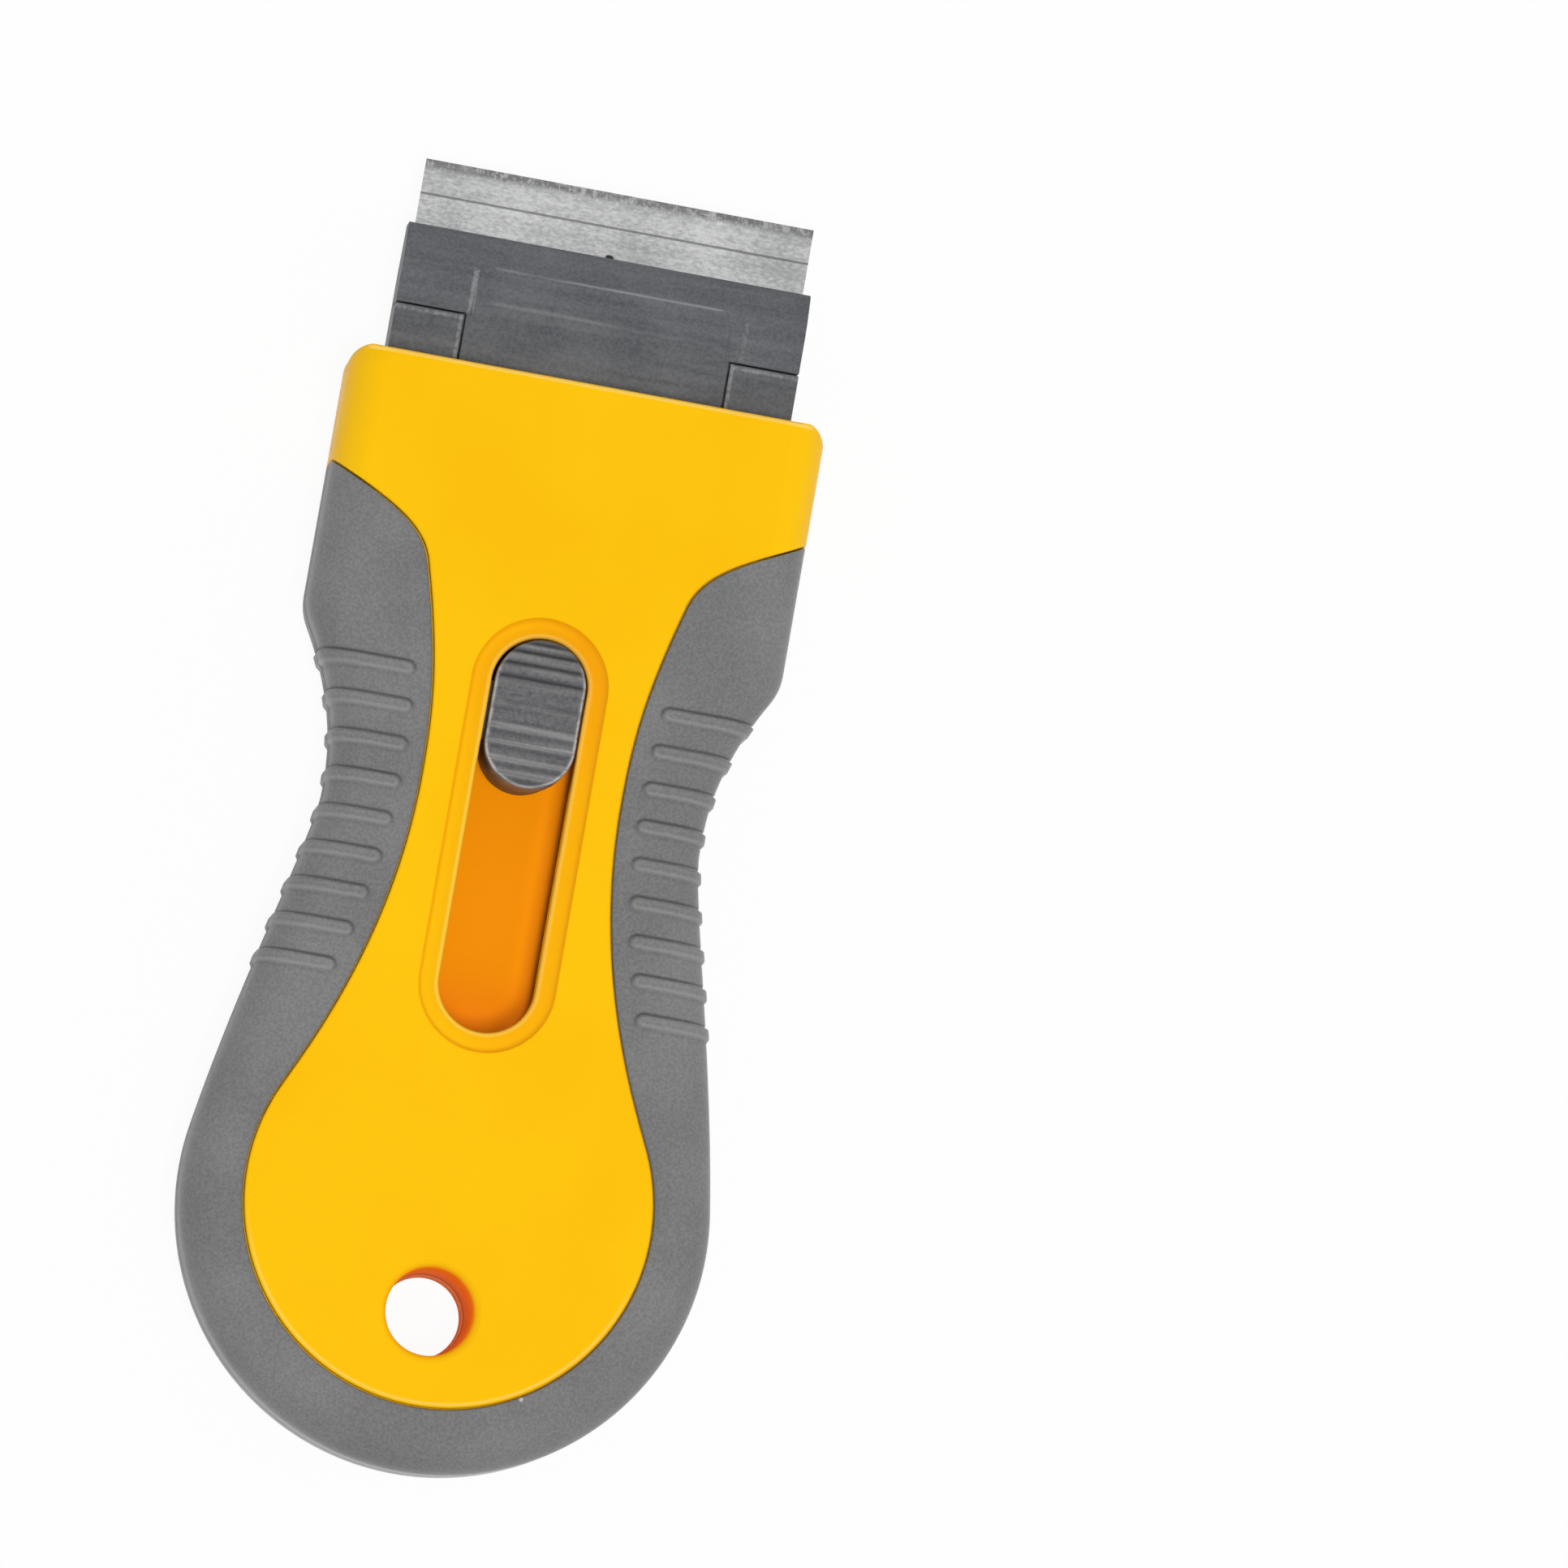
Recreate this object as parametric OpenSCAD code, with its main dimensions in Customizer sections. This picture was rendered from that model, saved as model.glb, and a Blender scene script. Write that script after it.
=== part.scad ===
// Retractable razor blade scraper: a two-shell handle with soft grips, a thumb slider and a blade holder.
// It lies on its rear face. The blade points along +Y, the thumb side faces +Z, and all sizes are in mm.
// Lengths called "at" are measured from the round butt of the handle, with the blade pushed out.

/* [Handle body] */
// length of the moulded body from the round butt to the mouth
body_l = 108.1; // [107:0.1:109]
// thickness over both faces
body_t = 16; // [15.6:0.1:18]
// width across the round butt
bulb_w = 52.1; // [50:0.1:55]
// width at the waist
waist_w = 37.3; // [37:0.1:40]
// place of the waist
waist_at = 64.8; // [63:0.1:66]
// place of the shoulders, where the head starts
shoulder_at = 82; // [81:0.1:82.3]
// angle of the throat below the shoulders
throat_angle = 30; // [26:1:34]
// rounding of the shoulders
shoulder_r = 1.6; // [1:0.1:2]
// plan radius of the two corners beside the mouth
corner_r = 1.9; // [1.8:0.1:3]
// how far the rounded long edges draw in the faces
edge_in = 3.8; // [3.4:0.1:4]
// height of the rounded long edges
edge_h = 4.5; // [4:0.1:5]
// small rounding of the mouth edge
mouth_edge = 0.6; // [0.4:0.1:0.9]
// wall thickness of the shells
wall = 1.8; // [1.6:0.1:1.8]
// thickness of the shell under its flat face
roof_t = 2.4; // [2.2:0.1:2.6]

/* [Soft grips] */
// thickness of the soft grips over the shells
grip_t = 1.4; // [1.2:0.1:1.4]
// step from the panels down to the grips, and height of the grip ribs
rib_h = 0.3; // [0.2:0.05:0.4]
// width of a grip rib
rib_w = 1.4; // [1.1:0.1:1.7]
// spacing of the grip ribs
rib_pitch = 3.75; // [3.5:0.01:3.8]
// number of grip ribs on each side
rib_count = 9; // [6:1:9]
// place of the rib nearest the butt
rib_at = 47.25; // [46:0.05:48]
// distance of a rib's round end from the panel
rib_inset = 2; // [1.6:0.1:2.4]
// width of the seam between panel and grip
seam_w = 0.25; // [0.2:0.05:0.4]

/* [Colour panel] */
// radius of the panel's round lobe
lobe_r = 19.95; // [19:0.05:20.5]
// place of the lobe's centre
lobe_at = 26.4; // [26:0.1:27]
// width of the panel at its waist
panel_w = 19.6; // [19:0.1:20]
// place of the panel's waist
panel_at = 67.5; // [66:0.1:68]
// width of the panel's neck, where it starts to flare
neck_w = 25.6; // [25:0.1:26.5]
// place of the neck
neck_at = 88.1; // [87.5:0.1:88.6]
// place where the flare meets the sides
flare_at = 97.6; // [97:0.1:98.5]

/* [Thumb slot] */
// width of the slot
slot_w = 9.5; // [9.3:0.1:10]
// length of the slot
slot_l = 39; // [37:0.1:39.4]
// place of the slot's front end
slot_at = 82.7; // [82.4:0.1:83]
// width of the dished rim round the slot
dish_w = 2; // [1.6:0.1:2.2]
// depth of the dished rim at the slot
dish_d = 0.9; // [0.6:0.1:1]

/* [Hang hole] */
// diameter of the hang hole
hole_d = 8.6; // [8:0.1:9.5]
// place of the hang hole
hole_at = 15.7; // [15:0.1:16.5]
// wall of the tube round the hang hole
tube_wall = 1.8; // [1.5:0.1:2]
// bevel at the rims of the hang hole
hole_edge = 0.3; // [0.3:0.05:0.5]

/* [Screws] */
// diameter of the screw shanks
screw_d = 2.6; // [2.2:0.1:2.8]
// diameter of the screw heads
screw_head_d = 5; // [4.6:0.1:5.2]
// height of the screw heads
screw_head_h = 1.8; // [1.6:0.1:2]
// sideways place of the two screws
screw_x = 11; // [10.5:0.1:11.5]
// place of the two screws along the handle
screw_at = 31; // [30:0.1:32]
// depth of the screw heads below the rear face
screw_sink = 1.6; // [1.4:0.1:1.8]

/* [Blade] */
// width of the single-edge blade
blade_w = 39; // [38.6:0.1:39.2]
// depth of the blade from back to edge
blade_l = 19; // [18.8:0.1:19.2]
// thickness of the blade
blade_t = 0.25; // [0.23:0.01:0.3]
// length of the ground bevel
bevel_l = 3.45; // [3:0.05:3.8]
// depth of the folded spine
spine_l = 6.5; // [6.2:0.1:6.6]
// thickness of the folded spine
spine_t = 1.3; // [1.2:0.05:1.35]
// width of the blade's centre slot
blade_slot_w = 3.4; // [3.2:0.1:3.6]
// length of the blade's centre slot
blade_slot_l = 5.2; // [5:0.1:6.2]
// distance of the centre slot from the blade's back
blade_slot_at = 7.2; // [7.1:0.1:7.4]
// depth of the side notches
notch_in = 3.2; // [2.8:0.1:3.4]
// width of the side notches
notch_w = 4; // [3.6:0.1:4.2]

/* [Blade holder] */
// width of the holder's rails beside the blade
rail_w = 0.7; // [0.6:0.05:0.9]
// place of the holder's front edge
holder_at = 121.5; // [121.2:0.1:121.8]
// length of the blade that stands out of the holder
reach = 6.7; // [6.3:0.1:6.9]
// distance of the cover's shoulders from the front edge
cover_head_l = 8.4; // [8.2:0.1:8.5]
// width of the cover's tongue
tongue_w = 26.3; // [26:0.1:26.6]
// thickness of the holder's base
base_t = 2.1; // [1.9:0.1:2.3]
// thickness of the cover over the blade's spine
cover_t = 3.2; // [3:0.1:3.4]
// width of the tail that carries the thumb button
tail_w = 14.8; // [14.4:0.1:15]

/* [Thumb button] */
// length of the button
button_l = 14.6; // [14:0.1:15]
// height of the button's ends over the face
button_h = 0.7; // [0.5:0.1:1]
// depth of the hollow between the button's ends
button_dip = 1.1; // [0.9:0.1:1.3]
// spacing of the grip steps
step_pitch = 1.38; // [1.3:0.01:1.45]
// size of the grooves between the grip steps
step_d = 0.45; // [0.35:0.05:0.5]
// number of grip steps at each end
step_count = 4; // [3:1:4]
// height of a lock tooth in its notch
lock_h = 1; // [0.9:0.05:1.1]
// number of blade positions
lock_count = 3; // [2:1:4]

/* [Lock spring] */
// length of the spring leaf
leaf_l = 20; // [19:0.1:22]
// width of the spring leaf
leaf_w = 5; // [4.6:0.1:5.2]
// thickness of the spring leaf
leaf_t = 0.4; // [0.3:0.05:0.5]
// height of the spring leaf over the underside of the holder
leaf_rise = 3; // [2.9:0.1:3.1]
// length of a lock tooth
tooth_l = 1.8; // [1.6:0.1:2]

/* [Fits] */
// clearance between sliding faces
slide_gap = 0.2; // [0.15:0.01:0.25]
// clearance between parts that are fitted once
fit_gap = 0.05; // [0.03:0.01:0.1]
// play of the holder between the sides of the head
head_play = 0.35; // [0.3:0.01:0.5]

/* [Hidden] */
$fn = 64;

yellow = [0.99, 0.77, 0.03];
soft_grey = [0.46, 0.46, 0.45];
holder_grey = [0.36, 0.39, 0.43];
blade_steel = [0.80, 0.81, 0.82];
dark_steel = [0.55, 0.56, 0.58];

eps = 0.01;
far = 60;
mid_z = body_t / 2;
overall_l = holder_at + reach;

// points on each stretch of the outlines, and steps round the long edges
lobe_n = 20;
curve_n = 9;
bend_n = 4;
edge_n = 5;

// pulls of the outline's curves at their ends
flank_angle = 9;
flank_pull = 16;
waist_pull = 4;
throat_pull = 2.6;
shoulder_pull = 9;

// panel curves
lobe_end = 24;
lobe_pull = 4.1;
panel_pull = 17;
neck_angle = 15.5;
neck_pull = 9.5;
flare_pull = 5.4;
flare_angle = 38;
flare_end_pull = 4;
flare_over = 1;

// the head is as wide as the holder, its play and the two side walls
holder_w = blade_w + 2 * rail_w;
side_in = grip_t + wall;
head_w = holder_w + 2 * (head_play + side_in);

// cavity: the sides stop at a ledge, and a narrower pocket goes on to the roof
ledge_w = 1.4;
pocket_in = side_in + ledge_w;
front_wall = 2.2;
roof_z = body_t - roof_t;

// heights of the blade holder, from the rear shell's bed upwards
bed_drop = 3.3;
bed_z = mid_z - bed_drop;
base_z = bed_z + slide_gap;
seat_z = base_z + base_t;
blade_z = seat_z + spine_t / 2;
spine_top = seat_z + spine_t;
cover_z = spine_top + fit_gap;
holder_top = cover_z + cover_t - fit_gap;
ledge_z = holder_top + slide_gap;
bed_w = tail_w + 2 * slide_gap;
bed_over = 2;

// screw bosses: walls round the shank and the head, and what is left over the bore and the shank's end
shank_wall = 1.5;
head_wall = 1.2;
bore_end = 0.6;
shank_end = 1;

// places of the blade holder along the handle
blade_back = overall_l - blade_l;
ear_front = holder_at - cover_head_l;
bulkhead_t = 2.6;
holder_back = blade_back - bulkhead_t;
spine_play = 0.3;
fold_t = 0.5;
lip_l = 5;
lip_t = 1.4;
ridge_in = 0.7;
ridge_t = 0.8;
peg_play = 0.15;

// slopes of the cover's front, from its edge backwards, and its two finger pads
slope_l = 6.4;
slope_drop = 0.5;
bevel_front_l = 3.1;
bevel_front_drop = 1.2;
nose = 0.5;
pad_in = 0.45;
pad_front = 3.4;
pad_d = 0.25;

// tail of the carriage
tail_plate_t = 1.4;
tail_rib_w = 1.4;
tail_rib_h = 3.2;

// thumb button and its lock
end_gap = 0.45;
travel = slot_l - button_l - 2 * end_gap;
button_w = slot_w - 2 * slide_gap;
button_at = slot_at - end_gap - button_l / 2;
press = lock_h + slide_gap;
flange_t = 1.4;
flange_top = roof_z - slide_gap;
flange_z = flange_top - flange_t;
flange_w = 12.8;
flange_l = button_l - button_w;
stem_w = 5.6;
stem_l = flange_l + stem_w;
well_wall = 1.3;
well_w = stem_w + 2 * slide_gap + 2 * well_wall;
well_top = flange_z - press - slide_gap;
leaf_z = base_z + leaf_rise;
leaf_top = leaf_z + leaf_t;
leaf_overhang = 3.5;
leaf_back = button_at - leaf_overhang;
stake_d = 2;
stake_head = 0.7;
stake_in = 3;
stake_at = leaf_back + leaf_l - stake_in;
rack_z = ledge_z;
rack_x = flange_w / 2 + 2.5 * slide_gap;
rack_w = 1.4;
rack_end = 4;
tooth_x = rack_x + rack_w / 2;

// points of a cubic curve after its first one
function cubic(a, b, c, d) =
    [for (i = [1:curve_n])
        let (t = i / curve_n, s = 1 - t)
        s * s * s * a + 3 * s * s * t * b + 3 * s * t * t * c + t * t * t * d];

// points of a rounded corner after its first one
function bend(a, b, c) =
    [for (i = [1:bend_n])
        let (t = i / bend_n, s = 1 - t)
        s * s * a + 2 * s * t * b + t * t * c];

function arc(c, r, a0, a1, n) =
    [for (i = [0:n])
        let (a = a0 + (a1 - a0) * i / n)
        c + r * [cos(a), sin(a)]];

function heading(a) = [sin(a), cos(a)];

// a right-hand outline that starts on the axis, closed by its mirror image
function both_sides(half) =
    concat(half, [for (i = [len(half) - 1:-1:1]) [-half[i][0], half[i][1]]]);

// right half of the handle's outline, drawn in by d at the sides and dm at the mouth
function body_half(d, dm) =
    let (
        c = [0, bulb_w / 2],
        r = bulb_w / 2 - d,
        p = c + r * [cos(flank_angle), sin(flank_angle)],
        w = [waist_w / 2 - d, waist_at],
        s = [head_w / 2 - d, shoulder_at],
        u = heading(throat_angle),
        q = s - shoulder_r * u)
    concat(
        arc(c, r, -90, flank_angle, lobe_n),
        cubic(p, p + flank_pull * heading(-flank_angle), w - [0, waist_pull], w),
        cubic(w, w + [0, throat_pull], q - shoulder_pull * u, q),
        bend(q, s, s + [0, shoulder_r]),
        arc([s[0] - corner_r, body_l - dm - corner_r], corner_r, 0, 90, bend_n));

function body_outline(d, dm) = both_sides(body_half(d, dm));

// right edge of the colour panel above its lobe
function panel_flank(d) =
    let (
        p = [0, lobe_at] + (lobe_r + d) * [cos(lobe_end), sin(lobe_end)],
        w = [panel_w / 2 + d, panel_at],
        n = [neck_w / 2 + d, neck_at - d / 2],
        e = [head_w / 2 + flare_over, flare_at - d])
    concat(
        cubic(p, p + lobe_pull * heading(-lobe_end), w - [0, panel_pull], w),
        cubic(w, w + [0, panel_pull / 2.5], n - neck_pull * heading(neck_angle), n),
        cubic(n, n + flare_pull * heading(neck_angle), e - flare_end_pull * heading(flare_angle), e));

// right half of the panel's outline, let out by d, which takes in the whole head
function panel_half(d) =
    concat(
        arc([0, lobe_at], lobe_r + d, -90, lobe_end, lobe_n),
        panel_flank(d),
        [[far, flare_at - d], [far, body_l + far]]);

// half-width of the panel at a place along the handle
function panel_x(y) = lookup(y, [for (p = panel_flank(0)) [p[1], p[0]]]);

// height of the rounded edge at a point of the outline: it runs out round the mouth corners
function edge_at(p, d) =
    let (
        turn = (abs(p[0]) - head_w / 2 + d + corner_r) / corner_r,
        share = p[1] < body_l - corner_r ? 1 : min(1, max(0, turn)))
    mouth_edge + (edge_h - mouth_edge) * share;

// upper half of the handle's form, drawn in by d, with its flat face at top
module body_form(d, top) {
    low = body_outline(d, 0);
    high = body_outline(d + edge_in, mouth_edge);
    n = len(low);
    rings = concat(
        [[for (p = low) [p[0], p[1], mid_z]]],
        [for (k = [0:edge_n])
            let (a = 90 * k / edge_n)
            [for (i = [0:n - 1])
                let (p = low[i] + (high[i] - low[i]) * (1 - cos(a)))
                [p[0], p[1], top - edge_at(low[i], d) * (1 - sin(a))]]]);
    last = len(rings) - 1;
    sides = [for (k = [0:last - 1])
        for (i = [0:n - 1])
            let (a = k * n + i, b = a + n, j = (i + 1) % n, c = (k + 1) * n + j, e = k * n + j)
            each [[a, b, c], [a, c, e]]];
    polyhedron(
        points = [for (ring = rings) each ring],
        faces = concat(
            [[for (i = [0:n - 1]) i]],
            [[for (i = [n - 1:-1:0]) last * n + i]],
            sides));
}

module panel_prism(d) {
    linear_extrude(far)
        polygon(both_sides(panel_half(d)));
}

// a bar with round ends along Y, from y0 to y1
module stadium(w, y0, y1) {
    translate([-w / 2, y0 + w / 2])
        square([w, y1 - y0 - w]);
    for (y = [y0 + w / 2, y1 - w / 2])
        translate([0, y])
            circle(d = w);
}

// the part is drawn from the butt and then centred on its length
module placed() {
    translate([0, -overall_l / 2, 0])
        children();
}

// turns the upper half into the lower one
module turned() {
    translate([0, 0, body_t])
        mirror([0, 0, 1])
            children();
}

module both_x() {
    children();
    mirror([1, 0, 0])
        children();
}

// one shell without its bores: the panel at full height, a core under the soft grip, and the hollow
// with a ledge and a narrower pocket up to the roof, all brought to the width that the grips leave
module shell_form(ledge) {
    resize([max(bulb_w - 2 * grip_t, head_w), 0, 0])
        difference() {
            union() {
                intersection() {
                    body_form(0, body_t);
                    panel_prism(0);
                }
                body_form(grip_t, body_t - grip_t);
            }
            translate([0, 0, mid_z - eps])
                linear_extrude(ledge - mid_z + eps)
                    polygon(body_outline(side_in, front_wall));
            translate([0, 0, ledge - eps])
                linear_extrude(roof_z - ledge + eps)
                    polygon(body_outline(pocket_in, front_wall));
        }
}

module hole_tube() {
    translate([0, hole_at, mid_z])
        cylinder(d = hole_d + 2 * tube_wall, h = roof_z - mid_z + eps);
}

module hole_bore() {
    translate([0, hole_at, mid_z - eps])
        cylinder(d = hole_d, h = body_t);
    translate([0, hole_at, body_t - hole_edge])
        cylinder(d1 = hole_d, d2 = hole_d + 4 * hole_edge, h = 2 * hole_edge);
}

module mouth() {
    translate([-holder_w / 2 - slide_gap, body_l - 2 * front_wall, base_z - slide_gap])
        cube([holder_w + 2 * slide_gap, 4 * front_wall, holder_top - base_z + 2 * slide_gap]);
}

// slot for the thumb button, with a dished rim that slopes down to it
module thumb_slot() {
    rim = slot_w / 2 + dish_w;
    slope = dish_w / dish_d;
    translate([0, 0, mid_z])
        linear_extrude(body_t)
            stadium(slot_w, slot_at - slot_l, slot_at);
    for (y = [slot_at - slot_l + slot_w / 2, slot_at - slot_w / 2])
        translate([0, y, body_t - dish_d])
            cylinder(r1 = slot_w / 2, r2 = slot_w / 2 + slope * 2 * dish_d, h = 2 * dish_d);
    translate([0, slot_at - slot_w / 2, body_t - dish_d])
        rotate([90, 0, 0])
            linear_extrude(slot_l - slot_w)
                polygon([[-slot_w / 2, 0], [slot_w / 2, 0], [rim + dish_w, 2 * dish_d],
                    [-rim - dish_w, 2 * dish_d]]);
}

// two racks under the roof, with a notch for the lock teeth at each blade position
module lock_racks() {
    rack_front = button_at + rack_end;
    rack_back = button_at - travel - rack_end;
    notch_l = tooth_l + 4 * slide_gap;
    both_x()
        difference() {
            translate([rack_x, rack_back, rack_z])
                cube([rack_w, rack_front - rack_back, roof_z - rack_z + eps]);
            for (i = [0:lock_count - 1])
                translate([0, button_at - travel * i / (lock_count - 1) - notch_l / 2, rack_z - eps])
                    cube([far, notch_l, lock_h + slide_gap + eps]);
        }
}

module front_shell() {
    boss_d = screw_d + 2 * shank_wall;
    color(yellow)
        placed()
            difference() {
                union() {
                    shell_form(ledge_z);
                    hole_tube();
                    lock_racks();
                    both_x()
                        translate([screw_x, screw_at, mid_z])
                            cylinder(d = boss_d, h = roof_z - mid_z + eps);
                }
                hole_bore();
                thumb_slot();
                mouth();
                both_x()
                    translate([screw_x, screw_at, mid_z - eps])
                        cylinder(d = screw_d + 2 * fit_gap, h = roof_z - mid_z - bore_end);
            }
}

module rear_shell() {
    boss_d = screw_head_d + 2 * head_wall;
    color(yellow)
        placed()
            difference() {
                union() {
                    turned()
                        shell_form(body_t - bed_z);
                    turned()
                        hole_tube();
                    translate([-bed_w / 2, slot_at - slot_l, roof_t - eps])
                        cube([bed_w, slot_l + bed_over, bed_z - roof_t + eps]);
                    both_x()
                        translate([screw_x, screw_at, roof_t - eps])
                            cylinder(d = boss_d, h = mid_z - roof_t + eps);
                }
                turned()
                    hole_bore();
                mouth();
                both_x()
                    translate([screw_x, screw_at, -eps]) {
                        cylinder(d = screw_d + 4 * fit_gap, h = body_t);
                        cylinder(d = screw_head_d + 4 * fit_gap, h = screw_sink + screw_head_h + eps);
                    }
            }
}

// bars of the grip ribs, from their round ends outwards
module rib_bars() {
    both_x()
        for (i = [0:rib_count - 1]) {
            y = rib_at + i * rib_pitch;
            translate([panel_x(y) + rib_inset + rib_w / 2, y, 0]) {
                cylinder(d = rib_w, h = far, $fn = 12);
                translate([0, -rib_w / 2, 0])
                    cube([far, rib_w, far]);
            }
        }
}

// one soft grip round a shell's core, brought to the width of the butt
module grip_form() {
    resize([max(bulb_w, head_w), 0, 0])
        difference() {
            union() {
                body_form(0, body_t - rib_h);
                intersection() {
                    body_form(-rib_h, body_t);
                    rib_bars();
                }
            }
            panel_prism(seam_w);
            body_form(grip_t, body_t - grip_t);
        }
}

module front_grip() {
    color(soft_grey)
        placed()
            grip_form();
}

module rear_grip() {
    color(soft_grey)
        placed()
            turned()
                grip_form();
}

module shell_screws() {
    head_z = screw_sink + screw_head_h;
    drive_l = screw_head_d * 0.6;
    drive_w = screw_head_d * 0.16;
    color(dark_steel)
        placed()
            both_x()
                translate([screw_x, screw_at, 0])
                    difference() {
                        union() {
                            translate([0, 0, screw_sink])
                                cylinder(d = screw_head_d, h = screw_head_h);
                            translate([0, 0, head_z - eps])
                                cylinder(d = screw_d, h = roof_z - shank_end - head_z);
                        }
                        for (a = [0, 90])
                            rotate(a)
                                translate([-drive_l / 2, -drive_w / 2, screw_sink - eps])
                                    cube([drive_l, drive_w, screw_head_h / 2]);
                    }
}

// plate of the holder in side view, with the seat of the blade and a thin front lip
module base_profile() {
    land_z = blade_z - blade_t / 2;
    spine_front = blade_back + spine_l + spine_play;
    polygon([[holder_back, base_z], [holder_at - lip_l, base_z], [holder_at, base_z + lip_t],
        [holder_at, land_z], [spine_front, land_z], [spine_front, seat_z],
        [blade_back, seat_z], [blade_back, cover_z - fit_gap], [holder_back, cover_z - fit_gap]]);
}

// turns a side view drawn in Y and Z into a bar of width w along X
module side_bar(w) {
    translate([-w / 2, 0, 0])
        rotate([90, 0, 90])
            linear_extrude(w)
                children();
}

module blade_carriage() {
    ear_x = tongue_w / 2 + slide_gap;
    ear_w = holder_w / 2 - ear_x;
    rail_t = rail_w - fit_gap;
    tail_back = button_at - flange_l / 2;
    rib_back = stake_at - 2 * stake_in;
    half_well = (flange_l + well_w) / 2;
    half_pocket = stem_l / 2 + slide_gap;
    color(holder_grey)
        placed()
            difference() {
                union() {
                    side_bar(holder_w)
                        base_profile();
                    both_x() {
                        translate([holder_w / 2 - rail_t, holder_back, seat_z - eps])
                            cube([rail_t, holder_at - holder_back - nose, spine_t + eps]);
                        translate([ear_x, holder_back, cover_z - fit_gap])
                            cube([ear_w, ear_front - holder_back, holder_top - cover_z + fit_gap]);
                        translate([tail_w / 2 - tail_rib_w, rib_back, base_z])
                            cube([tail_rib_w, holder_back + eps - rib_back, tail_rib_h]);
                    }
                    translate([-tail_w / 2, tail_back, base_z])
                        cube([tail_w, holder_back + eps - tail_back, tail_plate_t]);
                    translate([0, button_at, base_z])
                        linear_extrude(well_top - base_z)
                            stadium(well_w, -half_well, half_well);
                    translate([0, blade_back + blade_slot_at + blade_slot_w / 2, seat_z])
                        cylinder(d = blade_slot_w - 2 * peg_play, h = spine_t - fit_gap);
                    translate([-leaf_w / 2, stake_at - stake_in, base_z])
                        cube([leaf_w, 2 * stake_in, leaf_rise]);
                    translate([0, stake_at, base_z])
                        cylinder(d = stake_d, h = leaf_top + fit_gap - base_z + eps);
                    translate([0, stake_at, leaf_top + fit_gap])
                        cylinder(d1 = stake_d + 2 * stake_head, d2 = stake_d, h = stake_head);
                }
                translate([0, button_at, base_z + tail_plate_t])
                    linear_extrude(body_t)
                        stadium(stem_w + 2 * slide_gap, -half_pocket, half_pocket);
                translate([-leaf_w / 2 - slide_gap, button_at, base_z + tail_plate_t])
                    cube([leaf_w + 2 * slide_gap, half_well + eps, well_top]);
                translate([-tail_w, button_at - tooth_l / 2 - 2 * slide_gap, base_z + tail_plate_t])
                    cube([2 * tail_w, tooth_l + 4 * slide_gap, body_t]);
                both_x()
                    translate([ear_x - eps, holder_back - eps, cover_z + cover_t / 2 - ridge_t / 2 - slide_gap])
                        cube([ridge_in + slide_gap, ear_front - holder_back + 2 * eps, ridge_t + 2 * slide_gap]);
            }
}

// side view of the cover's wide head: flat, then two slopes down to the front edge
module cover_profile() {
    slope_z = holder_top - slope_drop;
    bevel_z = slope_z - bevel_front_drop;
    polygon([[ear_front + slide_gap, cover_z], [ear_front + slide_gap, holder_top],
        [holder_at - slope_l, holder_top], [holder_at - bevel_front_l, slope_z],
        [holder_at - nose, bevel_z], [holder_at, bevel_z - nose], [holder_at, cover_z]]);
}

module blade_cover() {
    press_z = blade_z + blade_t / 2 + fit_gap;
    press_back = blade_back + spine_l + spine_play + slide_gap;
    press_w = blade_w - 2 * slide_gap;
    peg_at = blade_back + blade_slot_at + blade_slot_w / 2;
    tongue_back = holder_back + nose;
    color(holder_grey)
        placed()
            difference() {
                union() {
                    side_bar(holder_w)
                        cover_profile();
                    translate([-press_w / 2, press_back, press_z])
                        cube([press_w, holder_at - press_back, cover_z - press_z + eps]);
                    translate([-tongue_w / 2, tongue_back, cover_z])
                        cube([tongue_w, ear_front + slide_gap - tongue_back + eps, holder_top - cover_z]);
                    translate([-tongue_w / 2 - ridge_in, tongue_back, cover_z + cover_t / 2 - ridge_t / 2])
                        cube([tongue_w + 2 * ridge_in, ear_front + slide_gap - tongue_back + eps, ridge_t]);
                }
                translate([-blade_slot_w / 2, press_back - eps, press_z - eps])
                    cube([blade_slot_w, peg_at - press_back + blade_slot_w, cover_z - press_z + eps]);
                both_x()
                    translate([tongue_w / 2 - pad_in, ear_front, holder_top - pad_d])
                        cube([far, cover_head_l - pad_front, far]);
            }
}

module razor_blade() {
    strip_back = blade_back + fold_t;
    half_t = blade_t / 2;
    slot_y = blade_back + blade_slot_at;
    notch_y = slot_y + blade_slot_l / 2 - slide_gap;
    color(blade_steel)
        placed()
            difference() {
                side_bar(blade_w)
                    polygon([[strip_back, blade_z - half_t], [overall_l - bevel_l, blade_z - half_t],
                        [overall_l, blade_z - eps], [overall_l, blade_z + eps],
                        [overall_l - bevel_l, blade_z + half_t], [strip_back, blade_z + half_t]]);
                translate([0, 0, seat_z])
                    linear_extrude(spine_t)
                        stadium(blade_slot_w, slot_y, slot_y + blade_slot_l);
                both_x()
                    translate([blade_w / 2 - notch_in + notch_w / 2, notch_y, seat_z]) {
                        cylinder(d = notch_w, h = spine_t);
                        translate([0, -notch_w / 2, 0])
                            cube([notch_w, notch_w, spine_t]);
                    }
            }
}

module blade_spine() {
    fold = spine_t / 2;
    color(dark_steel)
        placed()
            difference() {
                side_bar(blade_w)
                    union() {
                        translate([blade_back + fold, seat_z])
                            square([spine_l - fold, spine_t]);
                        translate([blade_back + fold, blade_z])
                            circle(d = spine_t);
                    }
                translate([-blade_w, blade_back + fold_t, blade_z - blade_t / 2])
                    cube([2 * blade_w, spine_l, blade_t]);
            }
}

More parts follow.
